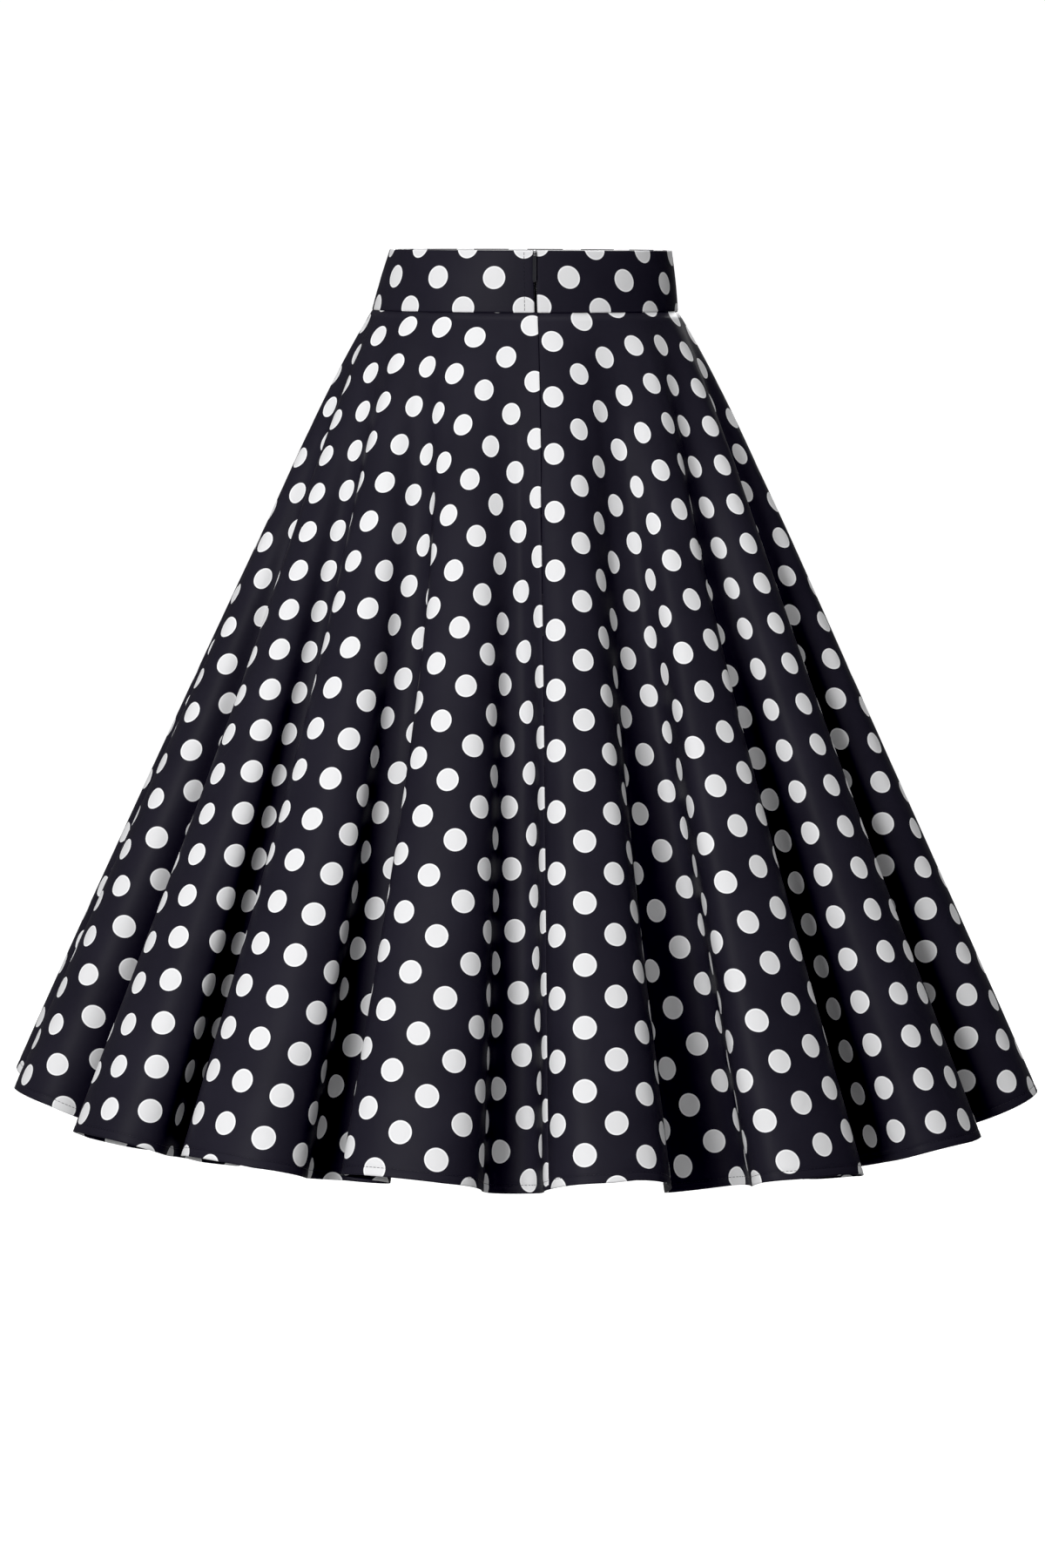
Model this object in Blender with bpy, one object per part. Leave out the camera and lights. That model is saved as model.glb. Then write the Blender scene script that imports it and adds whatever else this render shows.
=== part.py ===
"""Full circle skirt with a shaped waistband and a zip at the centre back.

The skirt is a flat ring of cloth, cut as a half circle for the front and two
quarter circles for the back.  Hung from the waist it falls in deep flutes.
Every point of the cloth is known by two pattern measures:
    angle   the pattern angle from the centre back seam, counter-clockwise
            from above, in radians
    share   how far down the cloth it lies, 0 at the waist seam, 1 at the hem
The hem is drawn in plan from the table of flutes.  Each straight line of the
pattern then runs from its place on the waist to its place on the hem, and
hangs as low as its length lets it.

Metres, +Z up, origin at the centre of the waistband half-way up its height,
-Y towards the wearer's back, +X towards the wearer's right.
"""
from collections import namedtuple
from math import atan2, cos, exp, pi, radians, sin

import bmesh
import bpy
import numpy as np
from mathutils import Matrix, Vector

# ---------------------------------------------------------------- sizes
BAND_HEIGHT = 0.050
BAND_TOP = (0.1158, 0.0920)        # half width and half depth, middle of the wall
BAND_SEAM = (0.1262, 0.0990)
BAND_LEAN = 0.0046                 # the top edge sits to the wearer's right
BAND_WALL = 0.0024
BAND_SWELL = 0.0006                # the band's sides bow out a little

CLOTH_LENGTH = 0.708               # waist seam to hem, along the cloth
WAIST_RADIUS = 0.1129              # of the pattern's inner circle
CLOTH_WALL = 0.0015
HEM_WALL = 0.0021
HIP_SWELL = 0.0135                 # rounding of the cloth over the hips
HIP_REACH = 0.16                   # share of the length where it has built up
FLUTE_GROWTH = 0.97                # how the flutes open: 1 is a straight cone
MEAN_HEM_RADIUS = 0.375            # of the hanging hem, half-way up the flutes
STEEPEST = 0.3                     # least fall of the cloth, share of its own length
HANG_GROWTH = 1.5                  # the cloth's stretch grows this fast down its length
MILLIMETRE = 0.001

CENTRE_BACK_TURN = radians(4.5)    # the zip sits a little to the wearer's right
BAND_TOP_TURN = radians(1.6)       # the same at the band's top edge
CENTRE_BACK_HEM = (0.0165, -0.364)  # where it meets the hem, on the side of a flute

SEAM_GAP = 0.0003                  # between any two pieces
SIDE_GAP = 0.0006                  # between two skirt pieces at a side seam
BAND_SLIT = 0.0024                 # open width of the band's ends over the zip
SKIRT_SLIT = 0.0008                # the same below the waist seam
ZIP_LENGTH = 0.205                 # from just under the band's top edge
ZIP_SHARE = (ZIP_LENGTH - BAND_HEIGHT) / CLOTH_LENGTH

TAPE_WIDTH = 0.0110
TAPE_WALL = 0.0009
TAPE_INNER_EDGE = 0.0026           # from the centre back line: room for the teeth
TAPE_TOP_DROP = 0.0040
TAPE_CLEARANCE = 0.0008            # it follows the cloth's inner face this far off
TAPE_TAIL = 0.0080                 # tape below the zip's end
TAPE_COLUMNS = 5
TAPE_LEAST_ROW = 0.0060            # no two rows of the tape lie closer than this

SLIDER = (0.0044, 0.0024, 0.0085)  # width, depth, height
SLIDER_EDGE = 0.0004
SLIDER_CLEARANCE = 0.0005          # behind the band's inner face
SLIDER_RISE = 0.0015               # its top above the pivot
LUG_THICKNESS = 0.0012
LUG_RADIUS = 0.0021
LUG_HOLE = 0.00115
LUG_SIDES = 24
NECK_DROP = 0.0008                 # the neck's centre below the pivot
PIVOT_Z = 0.0235
PULL_STAND_OFF = 0.00115           # pivot to the band's outer face
PULL = (0.0032, 0.0010, 0.0240)    # width, thickness, length below the pivot
PULL_EYE = (0.0019, 0.0024)        # width and height of the hole at its top
PULL_BAR = 0.0009                  # metal above the hole
PULL_ROUND_STEPS = 8               # flats of each rounded end

COLUMNS_PER_FLUTE = 16
COLUMN_CLEARANCE = 0.006           # no column lies closer to a seam, in radians
POINTS_PER_FLUTE = 8
CURVE_STEPS = 24                   # fine steps between two points of the hem
ROUNDING_STEPS = 7.0               # softening of the hem's bends, in fine steps
FALL_STEPS = 60                    # rows used to let the cloth hang
NORMAL_STEP = 0.004                # radians and shares either side of a point
TABLE_STEPS = 4800                 # pattern angles used to look the flutes up
BEARING_BLUR = radians(11.0)       # half a flute, to tell the flutes from the mean hem
SHIFT_BLUR = radians(5.0)
FOLD_BLUR = radians(4.5)           # rounding of the flutes at the waist
FOLD_FADE = 2.0                    # how fast that goes down the cloth
SHARP_ANGLE = radians(50)
WELD = 0.00001

# The flutes, round the hem from the centre front by the wearer's left: a ridge
# and then the valley after it.  Bearings are in degrees from the centre back,
# positive to the wearer's right.  Half widths and radii are of the fold's end.
Flute = namedtuple("Flute", "ridge ridge_half ridge_radius valley valley_half valley_radius")
FLUTES = [Flute(*row) for row in (
    (-167.0, 0.056, 0.420, -155.5, 0.041, 0.302),
    (-145.5, 0.048, 0.412, -135.0, 0.035, 0.332),
    (-124.0, 0.054, 0.436, -114.0, 0.037, 0.330),
    (-106.0, 0.046, 0.436, -97.5, 0.035, 0.347),
    (-89.5, 0.047, 0.438, -81.0, 0.035, 0.341),
    (-73.0, 0.048, 0.443, -62.5, 0.038, 0.340),
    (-52.0, 0.051, 0.442, -43.5, 0.033, 0.337),
    (-34.2, 0.056, 0.429, -23.0, 0.034, 0.312),
    (-13.7, 0.0555, 0.401, -1.1, 0.0235, 0.304),
    (10.9, 0.0495, 0.401, 27.5, 0.039, 0.288),
    (36.0, 0.053, 0.417, 47.8, 0.036, 0.316),
    (57.0, 0.049, 0.434, 67.0, 0.036, 0.338),
    (76.5, 0.049, 0.447, 86.0, 0.035, 0.342),
    (95.5, 0.049, 0.440, 104.0, 0.034, 0.348),
    (114.3, 0.046, 0.432, 124.3, 0.041, 0.326),
    (134.5, 0.056, 0.425, 145.5, 0.036, 0.334),
    (157.5, 0.049, 0.411, 175.0, 0.044, 0.302),
)]
RIDGE_SHOULDER = 0.40              # where a ridge is widest, share of the flute's depth
RIDGE_CROWN = 0.58                 # half width of its flatter top, share of the widest
RIDGE_DIP = 0.10                   # how far the top's sides are down, share of the depth
VALLEY_SHOULDER = 0.28             # the same three for a valley, upwards
VALLEY_CROWN = 0.55
VALLEY_DIP = 0.05

# Near the waist the flutes don't run along the pattern's straight lines.  Each row
# says, for a pattern angle at the waist, how far off it is the flute that shows
# there, in degrees.  The shift fades away down the cloth.
Shift = namedtuple("Shift", "angle turn")
SHIFTS = [Shift(*row) for row in (
    (-180.0, 0.0),
    (-120.0, 8.0),
    (-76.0, 18.0),
    (-56.0, 19.0),
    (-44.0, 19.0),
    (-33.0, 18.0),
    (-14.0, 9.0),
    (10.0, -4.8),
    (30.0, -12.5),
    (49.5, -17.5),
    (72.0, -18.0),
    (120.0, -8.0),
    (180.0, 0.0),
)]
SHIFT_FADE = 3.5

# How much lower the cloth hangs at the hem than its cut length gives, in mm, by
# degrees round the pattern from the centre back.  Cloth stretches where it hangs
# on the bias, halfway between two grain lines.
Hang = namedtuple("Hang", "angle extra")
HANGS = [Hang(*row) for row in (
    (-180.0, 4.0),
    (-135.0, 9.0),
    (-100.0, 4.0),
    (-82.0, 3.0),
    (-78.5, 1.5),
    (-75.0, 0.0),
    (-66.0, 7.5),
    (-62.0, 12.0),
    (-51.0, 6.5),
    (-45.0, 2.0),
    (-42.0, 6.5),
    (-34.0, 9.0),
    (-28.5, 2.8),
    (-26.0, 0.0),
    (-20.5, 0.0),
    (-14.5, 2.5),
    (-12.0, 4.0),
    (-7.0, 1.5),
    (-4.0, 1.5),
    (0.0, 3.0),
    (4.0, 4.0),
    (5.5, 2.5),
    (10.0, 5.0),
    (18.0, 5.5),
    (24.5, 11.0),
    (26.5, 14.5),
    (32.5, 19.0),
    (36.5, 10.5),
    (44.5, 11.0),
    (48.0, 14.0),
    (51.5, 17.0),
    (67.0, 8.0),
    (71.0, 7.5),
    (80.0, 10.0),
    (100.0, 5.0),
    (135.0, 9.0),
    (180.0, 4.0),
)]

Row = namedtuple("Row", "share wall")  # share of the length, thickness of the wall
ROWS = [Row(*row) for row in (
    (0.0, CLOTH_WALL),
    (0.04, CLOTH_WALL),
    (0.11, CLOTH_WALL),
    (0.16, CLOTH_WALL),
    (0.225, CLOTH_WALL),
    (0.28, CLOTH_WALL),
    (0.34, CLOTH_WALL),
    (0.44, CLOTH_WALL),
    (0.55, CLOTH_WALL),
    (0.78, CLOTH_WALL),
    (0.985, CLOTH_WALL),
    (0.990, HEM_WALL),
    (1.0, HEM_WALL),
)]
BAND_ROWS = 3
BAND_COLUMNS_PER_QUARTER = 12
QUARTER = pi / 2


# ------------------------------------------------------------- flat shapes
def on_circle(degrees, radius, side):
    """A plan point at a bearing from the centre back, moved sideways."""
    turn = radians(degrees)
    out = np.array([sin(turn), -cos(turn)])
    along = np.array([cos(turn), sin(turn)])
    return radius * out + side * along


def fold_shape(shoulder, crown, dip):
    """Sideways place and depth of four points round a fold's end, as shares."""
    return (-1.0, shoulder), (-crown, dip), (crown, dip), (1.0, shoulder)


def hem_control_points():
    """Four points over each ridge and four round each valley."""
    points = []
    for flute in FLUTES:
        deep = flute.ridge_radius - flute.valley_radius
        for side, drop in fold_shape(RIDGE_SHOULDER, RIDGE_CROWN, RIDGE_DIP):
            radius = flute.ridge_radius - drop * deep
            points.append(on_circle(flute.ridge, radius, side * flute.ridge_half))
        for side, rise in fold_shape(VALLEY_SHOULDER, VALLEY_CROWN, VALLEY_DIP):
            radius = flute.valley_radius + rise * deep
            points.append(on_circle(flute.valley, radius, side * flute.valley_half))
    return points


def closed_curve(points):
    """A smooth closed curve through the points (Catmull-Rom)."""
    count = len(points)
    curve = []
    for i in range(count):
        a, b, c, d = (points[(i + k) % count] for k in (-1, 0, 1, 2))
        for step in range(CURVE_STEPS):
            u = step / CURVE_STEPS
            curve.append(0.5 * (2 * b + (c - a) * u + (2 * a - 5 * b + 4 * c - d) * u * u
                                + (3 * b - a - 3 * c + d) * u ** 3))
    return np.array(curve)


def soften(curve, spread):
    """The closed curve with its bends rounded off over so many of its steps."""
    reach = int(4 * spread)
    steps = np.arange(-reach, reach + 1)
    weights = np.exp(-0.5 * (steps / spread) ** 2)
    weights /= weights.sum()
    ringed = np.concatenate([curve[-reach:], curve, curve[:reach]])
    return np.stack([np.convolve(column, weights, "valid") for column in ringed.T], -1)


def running_length(curve):
    return np.concatenate([[0.0], np.cumsum(np.hypot(*np.diff(curve, axis=0).T))])


def hem_curve():
    """Pattern angles and plan points of the hem, from -pi to pi.

    The pattern angle grows with the length along the hem, from the point that
    lies nearest the centre back seam's end.
    """
    curve = soften(closed_curve(hem_control_points()), ROUNDING_STEPS)
    start = int(np.argmin(np.hypot(*(curve - CENTRE_BACK_HEM).T)))
    rolled = np.concatenate([curve[start:], curve[:start + 1]])
    length = running_length(rolled)
    angles = (length / length[-1] * 2 * pi)[:-1]
    points = rolled[:-1]
    angles = np.where(angles > pi, angles - 2 * pi, angles)
    order = np.argsort(angles)
    angles = angles[order]
    points = points[order]
    angles = np.concatenate([[angles[-1] - 2 * pi], angles, [angles[0] + 2 * pi]])
    points = np.concatenate([points[-1:], points, points[:1]])
    return angles, points


def waist_curve(angles, half_width, half_depth, seam_turn):
    """Plan points of an oval at equal shares of its length, from the zip's place."""
    turn = np.linspace(-pi, pi, 1441)
    step = np.hypot(half_width * np.cos(turn), half_depth * np.sin(turn))
    length = np.concatenate([[0.0], np.cumsum((step[1:] + step[:-1]) / 2 * np.diff(turn))])
    around = length[-1]
    length -= around / 2
    want = (angles + seam_turn) / (2 * pi) * around
    want = (want + around / 2) % around - around / 2
    found = np.interp(want, length, turn)
    return np.stack([half_width * np.sin(found), -half_depth * np.cos(found)], -1)


# --------------------------------------------------------------- the drape
HEM_ANGLES, HEM_POINTS = hem_curve()
SEAM_Z = -BAND_HEIGHT / 2


def hem_at(angles):
    wrapped = (angles + pi) % (2 * pi) - pi
    return np.stack([np.interp(wrapped, HEM_ANGLES, HEM_POINTS[:, k]) for k in (0, 1)], -1)


def out_and_along(bearings):
    """Unit vectors in plan at some bearings: outwards, and round to the right."""
    out = np.stack([np.sin(bearings), -np.cos(bearings)], -1)
    along = np.stack([np.cos(bearings), np.sin(bearings)], -1)
    return out, along


def blurred(values, spread):
    """A table by pattern angle, rounded off over an angle."""
    ring = soften(values[:-1], spread / (2 * pi) * TABLE_STEPS)
    return np.concatenate([ring, ring[:1]])


def flute_tables():
    """The mean hem's bearing, and what the flutes add to it, by pattern angle.

    The flutes' two columns say how far the hem lies outside the mean circle and
    how far round it.
    """
    hem = hem_at(TABLE_ANGLES)
    bearing = np.unwrap(np.arctan2(hem[:, 0], -hem[:, 1]))
    turned = bearing - TABLE_ANGLES
    turned -= 2 * pi * np.round(turned.mean() / (2 * pi))
    mean = blurred(turned[:, None], BEARING_BLUR)[:, 0] + TABLE_ANGLES
    out, along = out_and_along(mean)
    away = hem - MEAN_HEM_RADIUS * out
    return mean, np.stack([(away * out).sum(-1), (away * along).sum(-1)], -1)


def shift_table():
    rows, turns = zip(*SHIFTS)
    turns = np.interp(TABLE_ANGLES, np.radians(rows), np.radians(turns))
    return blurred(turns[:, None], SHIFT_BLUR)[:, 0]


TABLE_ANGLES = np.linspace(-pi, pi, TABLE_STEPS + 1)
MEAN_BEARINGS, HEM_FLUTES = flute_tables()
WAIST_FLUTES = blurred(HEM_FLUTES, FOLD_BLUR)
SHIFT_TURNS = shift_table()


def plan_at(angles, share):
    """Plan points of the cloth at one share of its length."""
    wrapped = (angles + pi) % (2 * pi) - pi
    shift = np.interp(wrapped, TABLE_ANGLES, SHIFT_TURNS) * (1 - share) ** SHIFT_FADE
    shown = (wrapped + shift + pi) % (2 * pi) - pi
    softness = (1 - share) ** FOLD_FADE
    table = HEM_FLUTES + (WAIST_FLUTES - HEM_FLUTES) * softness
    outwards, sideways = (np.interp(shown, TABLE_ANGLES, column) for column in table.T)
    out, along = out_and_along(np.interp(wrapped, TABLE_ANGLES, MEAN_BEARINGS))
    flutes = outwards[:, None] * out + sideways[:, None] * along
    waist = waist_curve(angles, *BAND_SEAM, CENTRE_BACK_TURN)
    swell = HIP_SWELL * (1 - share) * (1 - exp(-share / HIP_REACH))
    return (waist * (1 - share) + (MEAN_HEM_RADIUS * share + swell) * out
            + flutes * share ** FLUTE_GROWTH)


def hang_at(angles):
    """How much lower the hem hangs than its cut length gives, in metres."""
    wrapped = (angles + pi) % (2 * pi) - pi
    rows, extras = zip(*HANGS)
    return np.interp(wrapped, np.radians(rows), extras) * MILLIMETRE


def cloth_points(angles, shares):
    """Points of the cloth's middle surface, one row for each share."""
    fine = np.linspace(0.0, 1.0, FALL_STEPS + 1)
    step = CLOTH_LENGTH / FALL_STEPS
    height = np.full(len(angles), SEAM_Z - SEAM_GAP)
    plans = [plan_at(angles, fine[0])]
    heights = [height]
    for share in fine[1:]:
        plans.append(plan_at(angles, share))
        moved = np.hypot(*(plans[-1] - plans[-2]).T)
        fall = np.sqrt(np.maximum(step ** 2 - moved ** 2, (STEEPEST * step) ** 2))
        height = height - fall
        heights.append(height)
    heights = np.array(heights)
    rows = []
    for share in shares:
        fall = np.array([np.interp(share, fine, column) for column in heights.T])
        fall -= hang_at(angles) * share ** HANG_GROWTH
        rows.append(np.concatenate([plan_at(angles, share), fall[:, None]], -1))
    return np.array(rows)


def cloth_normals(angles, shares):
    """Outward unit normals, the same whichever panel asks for them."""
    step = NORMAL_STEP
    ahead = cloth_points(angles + step, shares) - cloth_points(angles - step, shares)
    low = [min(share + step, 1.0) for share in shares]
    high = [max(share - step, 0.0) for share in shares]
    below = cloth_points(angles, low) - cloth_points(angles, high)
    normals = np.cross(below, ahead)
    level = [row for row, share in enumerate(shares) if share == 0.0]
    normals[level, :, 2] = 0.0
    return normals / np.linalg.norm(normals, axis=-1, keepdims=True)


def band_points(angles, drops):
    """Middle surface of the waistband, drops measured from its top edge."""
    rows = []
    for drop in drops:
        share = drop / BAND_HEIGHT
        swell = BAND_SWELL * sin(pi * share)
        half_width = BAND_TOP[0] + (BAND_SEAM[0] - BAND_TOP[0]) * share + swell
        half_depth = BAND_TOP[1] + (BAND_SEAM[1] - BAND_TOP[1]) * share + swell
        seam_turn = BAND_TOP_TURN + (CENTRE_BACK_TURN - BAND_TOP_TURN) * share
        plan = waist_curve(angles, half_width, half_depth, seam_turn)
        plan[:, 0] += BAND_LEAN * (1 - share)
        height = np.full((len(angles), 1), BAND_HEIGHT / 2 - drop)
        rows.append(np.concatenate([plan, height], -1))
    return np.array(rows)


def band_normals(angles, drops):
    step = NORMAL_STEP
    ahead = band_points(angles + step, drops) - band_points(angles - step, drops)
    ahead[:, :, 2] = 0.0
    normals = np.stack([ahead[:, :, 1], -ahead[:, :, 0], np.zeros(ahead.shape[:2])], -1)
    return normals / np.linalg.norm(normals, axis=-1, keepdims=True)


# -------------------------------------------------------------- scene set-up
def clear_scene():
    for thing in list(bpy.data.objects):
        bpy.data.objects.remove(thing, do_unlink=True)


def new_collection(name):
    made = bpy.data.collections.new(name)
    bpy.context.scene.collection.children.link(made)
    return made


def material(name, colour, roughness, metallic=0.0):
    made = bpy.data.materials.new(name)
    made.use_nodes = True
    shader = made.node_tree.nodes["Principled BSDF"]
    shader.inputs["Base Color"].default_value = (*colour, 1.0)
    shader.inputs["Roughness"].default_value = roughness
    shader.inputs["Metallic"].default_value = metallic
    made.diffuse_color = (*colour, 1.0)
    return made


def finish(bm, name, collection, look):
    mesh = bpy.data.meshes.new(name)
    bmesh.ops.recalc_face_normals(bm, faces=bm.faces[:])
    if bm.calc_volume(signed=True) < 0:
        bmesh.ops.reverse_faces(bm, faces=bm.faces[:])
    bm.to_mesh(mesh)
    bm.free()
    mesh.shade_smooth()
    mesh.set_sharp_from_angle(angle=SHARP_ANGLE)
    thing = bpy.data.objects.new(name, mesh)
    thing.data.materials.append(look)
    collection.objects.link(thing)
    return thing


def cloth_panel(name, middle, normals, walls, collection, look):
    """A closed sheet: a grid for the inner face, extruded to the outer one.

    middle and normals hold one row of points for each ring of the panel, and
    walls the thickness at each ring.
    """
    rows, columns = middle.shape[:2]
    bm = bmesh.new()
    bmesh.ops.create_grid(bm, x_segments=columns - 1, y_segments=rows - 1, size=0.5)
    inner = list(bm.verts)
    grown = bmesh.ops.extrude_face_region(bm, geom=bm.faces[:])
    outer = [item for item in grown["geom"] if isinstance(item, bmesh.types.BMVert)]
    for verts, side in ((inner, -0.5), (outer, 0.5)):
        for vert in verts:
            column = round((vert.co.x + 0.5) * (columns - 1))
            row = round((vert.co.y + 0.5) * (rows - 1))
            vert.co = Vector(middle[row, column] + normals[row, column] * walls[row] * side)
    return finish(bm, name, collection, look)


# ------------------------------------------------------------------ panels
def panel_columns(start, stop):
    """Pattern angles from start to stop, closer together where the hem bends."""
    every = POINTS_PER_FLUTE * CURVE_STEPS // COLUMNS_PER_FLUTE
    marks = HEM_ANGLES[1:-1:every]
    marks = np.concatenate([marks, marks + 2 * pi])
    inside = (marks > start + COLUMN_CLEARANCE) & (marks < stop - COLUMN_CLEARANCE)
    return np.concatenate([[start], marks[inside], [stop]])


def turn_of(gap, angle, share):
    """The pattern angle that spans this gap where the cloth hangs."""
    ends = cloth_points(np.array([angle - NORMAL_STEP, angle + NORMAL_STEP]), [share])[0]
    return gap * 2 * NORMAL_STEP / np.linalg.norm(ends[1] - ends[0])


def skirt_panel(name, start, stop, open_start, open_stop, collection, look):
    """start and stop are pattern angles; open_* tells which edge is the zip's."""
    columns = panel_columns(start, stop)
    middle = []
    normals = []
    for row in ROWS:
        radius = WAIST_RADIUS + CLOTH_LENGTH * row.share
        slit = SKIRT_SLIT if row.share < ZIP_SHARE else SEAM_GAP
        angles = columns.copy()
        half_slit = slit / 2 / radius
        angles[0] += half_slit if open_start else turn_of(SIDE_GAP / 2, start, row.share)
        angles[-1] -= half_slit if open_stop else turn_of(SIDE_GAP / 2, stop, row.share)
        middle.append(cloth_points(angles, [row.share])[0])
        normals.append(cloth_normals(angles, [row.share])[0])
    walls = [row.wall for row in ROWS]
    return cloth_panel(name, np.array(middle), np.array(normals), walls, collection, look)


def band_columns(start, stop):
    quarters = round((stop - start) / QUARTER)
    return np.linspace(start, stop, quarters * BAND_COLUMNS_PER_QUARTER + 1)


def band_panel(name, start, stop, open_start, open_stop, collection, look):
    columns = band_columns(start, stop)
    columns[0] += (BAND_SLIT if open_start else SEAM_GAP) / 2 / WAIST_RADIUS
    columns[-1] -= (BAND_SLIT if open_stop else SEAM_GAP) / 2 / WAIST_RADIUS
    drops = np.linspace(0.0, BAND_HEIGHT, BAND_ROWS)
    middle = band_points(columns, drops)
    normals = band_normals(columns, drops)
    return cloth_panel(name, middle, normals, [BAND_WALL] * BAND_ROWS, collection, look)


def build_cloth(collection, look):
    front = (QUARTER, 3 * QUARTER)
    left = (-QUARTER, 0.0)
    right = (0.0, QUARTER)
    skirt_panel("skirt_front", *front, False, False, collection, look)
    skirt_panel("skirt_back_left", *left, False, True, collection, look)
    skirt_panel("skirt_back_right", *right, True, False, collection, look)
    band_panel("waistband_front", *front, False, False, collection, look)
    band_panel("waistband_back_left", *left, False, True, collection, look)
    band_panel("waistband_back_right", *right, True, False, collection, look)


# --------------------------------------------------------------------- zip
def along_facets(angles, columns, points):
    """Points between a panel's own columns, on its flat faces."""
    return np.stack([np.interp(angles, columns, points[:, k]) for k in range(3)], -1)


def tape_row(side, drop):
    """Points and normals of the wall over the tape, this far down the zip."""
    across = np.linspace(TAPE_INNER_EDGE, TAPE_INNER_EDGE + TAPE_WIDTH, TAPE_COLUMNS)
    share = max(drop - BAND_HEIGHT, 0.0) / CLOTH_LENGTH
    angles = side * across / (WAIST_RADIUS + CLOTH_LENGTH * share)
    quarter = (0.0, QUARTER) if side > 0 else (-QUARTER, 0.0)
    if drop <= BAND_HEIGHT:
        columns = band_columns(*quarter)
        points = band_points(columns, [drop])[0]
        normals = band_normals(columns, [drop])[0]
    else:
        columns = panel_columns(*quarter)
        shares = [row.share for row in ROWS]
        above = max(row_share for row_share in shares if row_share <= share)
        below = shares[shares.index(above) + 1]
        part = (share - above) / (below - above)
        points = cloth_points(columns, [above, below])
        points = points[0] * (1 - part) + points[1] * part
        upper = cloth_normals(columns, [above])[0]
        lower = cloth_normals(columns, [below])[0]
        normals = upper * (1 - part) + lower * part
        normals /= np.linalg.norm(normals, axis=-1, keepdims=True)
    return along_facets(angles, columns, points), along_facets(angles, columns, normals)


def tape_drops():
    """Distances down the centre back: the skirt's own rows, and the tape's end."""
    end = ZIP_LENGTH + TAPE_TAIL
    under_band = BAND_HEIGHT + TAPE_LEAST_ROW
    rows = [BAND_HEIGHT + row.share * CLOTH_LENGTH for row in ROWS]
    rows = [drop for drop in rows if under_band < drop < end - TAPE_LEAST_ROW]
    return [TAPE_TOP_DROP, BAND_HEIGHT / 2, BAND_HEIGHT, under_band, *rows, end]


def tape(name, side, collection, look):
    """One half of the zip's tape; side is -1 for the left half, 1 for the right."""
    middle = []
    normals = []
    for drop in tape_drops():
        wall = BAND_WALL if drop <= BAND_HEIGHT else CLOTH_WALL
        points, normal = tape_row(side, drop)
        middle.append(points - normal * (wall / 2 + TAPE_CLEARANCE + TAPE_WALL / 2))
        normals.append(normal)
    walls = [TAPE_WALL] * len(middle)
    return cloth_panel(name, np.array(middle), np.array(normals), walls, collection, look)


def box(bm, size, centre):
    made = bmesh.ops.create_cube(bm, size=1.0)
    bmesh.ops.scale(bm, vec=size, verts=made["verts"])
    bmesh.ops.translate(bm, vec=centre, verts=made["verts"])


def disc(bm, radius, thickness, centre):
    """A round plate whose axis lies along X."""
    upright = Matrix.Rotation(radians(90), 4, "Y")
    place = Matrix.Translation(centre) @ upright
    bmesh.ops.create_cone(bm, cap_ends=True, segments=LUG_SIDES, radius1=radius,
                          radius2=radius, depth=thickness, matrix=place)


def mesh_object(name, bm, collection):
    mesh = bpy.data.meshes.new(name)
    bm.to_mesh(mesh)
    bm.free()
    thing = bpy.data.objects.new(name, mesh)
    collection.objects.link(thing)
    return thing


def boolean(thing, other, operation):
    step = thing.modifiers.new(operation.lower(), "BOOLEAN")
    step.operation = operation
    step.object = other
    other.hide_render = True
    other.display_type = "WIRE"


def on_centre_back(drop):
    """The band's middle surface on the centre back line, this far down."""
    return Vector(band_points(np.array([0.0]), [drop])[0, 0])


def slider(collection, cutters, look):
    """Body behind the band's slit, with the lug that reaches out through it."""
    at = on_centre_back(BAND_HEIGHT / 2 - PIVOT_Z)
    depth, height = SLIDER[1:]
    pivot = Vector((at.x, at.y - BAND_WALL / 2 - PULL_STAND_OFF, PIVOT_Z))
    body_y = at.y + BAND_WALL / 2 + SLIDER_CLEARANCE + depth / 2
    body = bmesh.new()
    box(body, SLIDER, (at.x, body_y, PIVOT_Z + SLIDER_RISE - height / 2))
    bmesh.ops.bevel(body, geom=body.edges[:], offset=SLIDER_EDGE, segments=2, affect="EDGES")
    thing = mesh_object("zip_slider", body, collection)
    thing.data.materials.append(look)
    neck = bmesh.new()
    reach = body_y - pivot.y
    middle = (at.x, pivot.y + reach / 2, PIVOT_Z - NECK_DROP)
    box(neck, (LUG_THICKNESS, reach, 2 * LUG_RADIUS), middle)
    boolean(thing, mesh_object("lug_neck", neck, cutters), "UNION")
    end = bmesh.new()
    disc(end, LUG_RADIUS, LUG_THICKNESS, pivot)
    boolean(thing, mesh_object("lug_end", end, cutters), "UNION")
    hole = bmesh.new()
    disc(hole, LUG_HOLE, 4 * LUG_THICKNESS, pivot)
    boolean(thing, mesh_object("lug_hole", hole, cutters), "DIFFERENCE")
    return pivot


def pull_outline():
    """Rounded tab and its eye as closed flat curves, y down from the pivot."""
    half = PULL[0] / 2
    length = PULL[2]
    top = PULL_BAR / 2
    outer = []
    for centre_y, start in ((top - half, 0.0), (-length + half, pi)):
        for step in range(PULL_ROUND_STEPS + 1):
            turn = start + pi * step / PULL_ROUND_STEPS
            outer.append((half * cos(turn), centre_y + half * sin(turn)))
    eye_half = PULL_EYE[0] / 2
    eye_top = -PULL_BAR / 2
    eye = [(-eye_half, eye_top), (eye_half, eye_top),
           (eye_half, eye_top - PULL_EYE[1]), (-eye_half, eye_top - PULL_EYE[1])]
    return outer, eye


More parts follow.
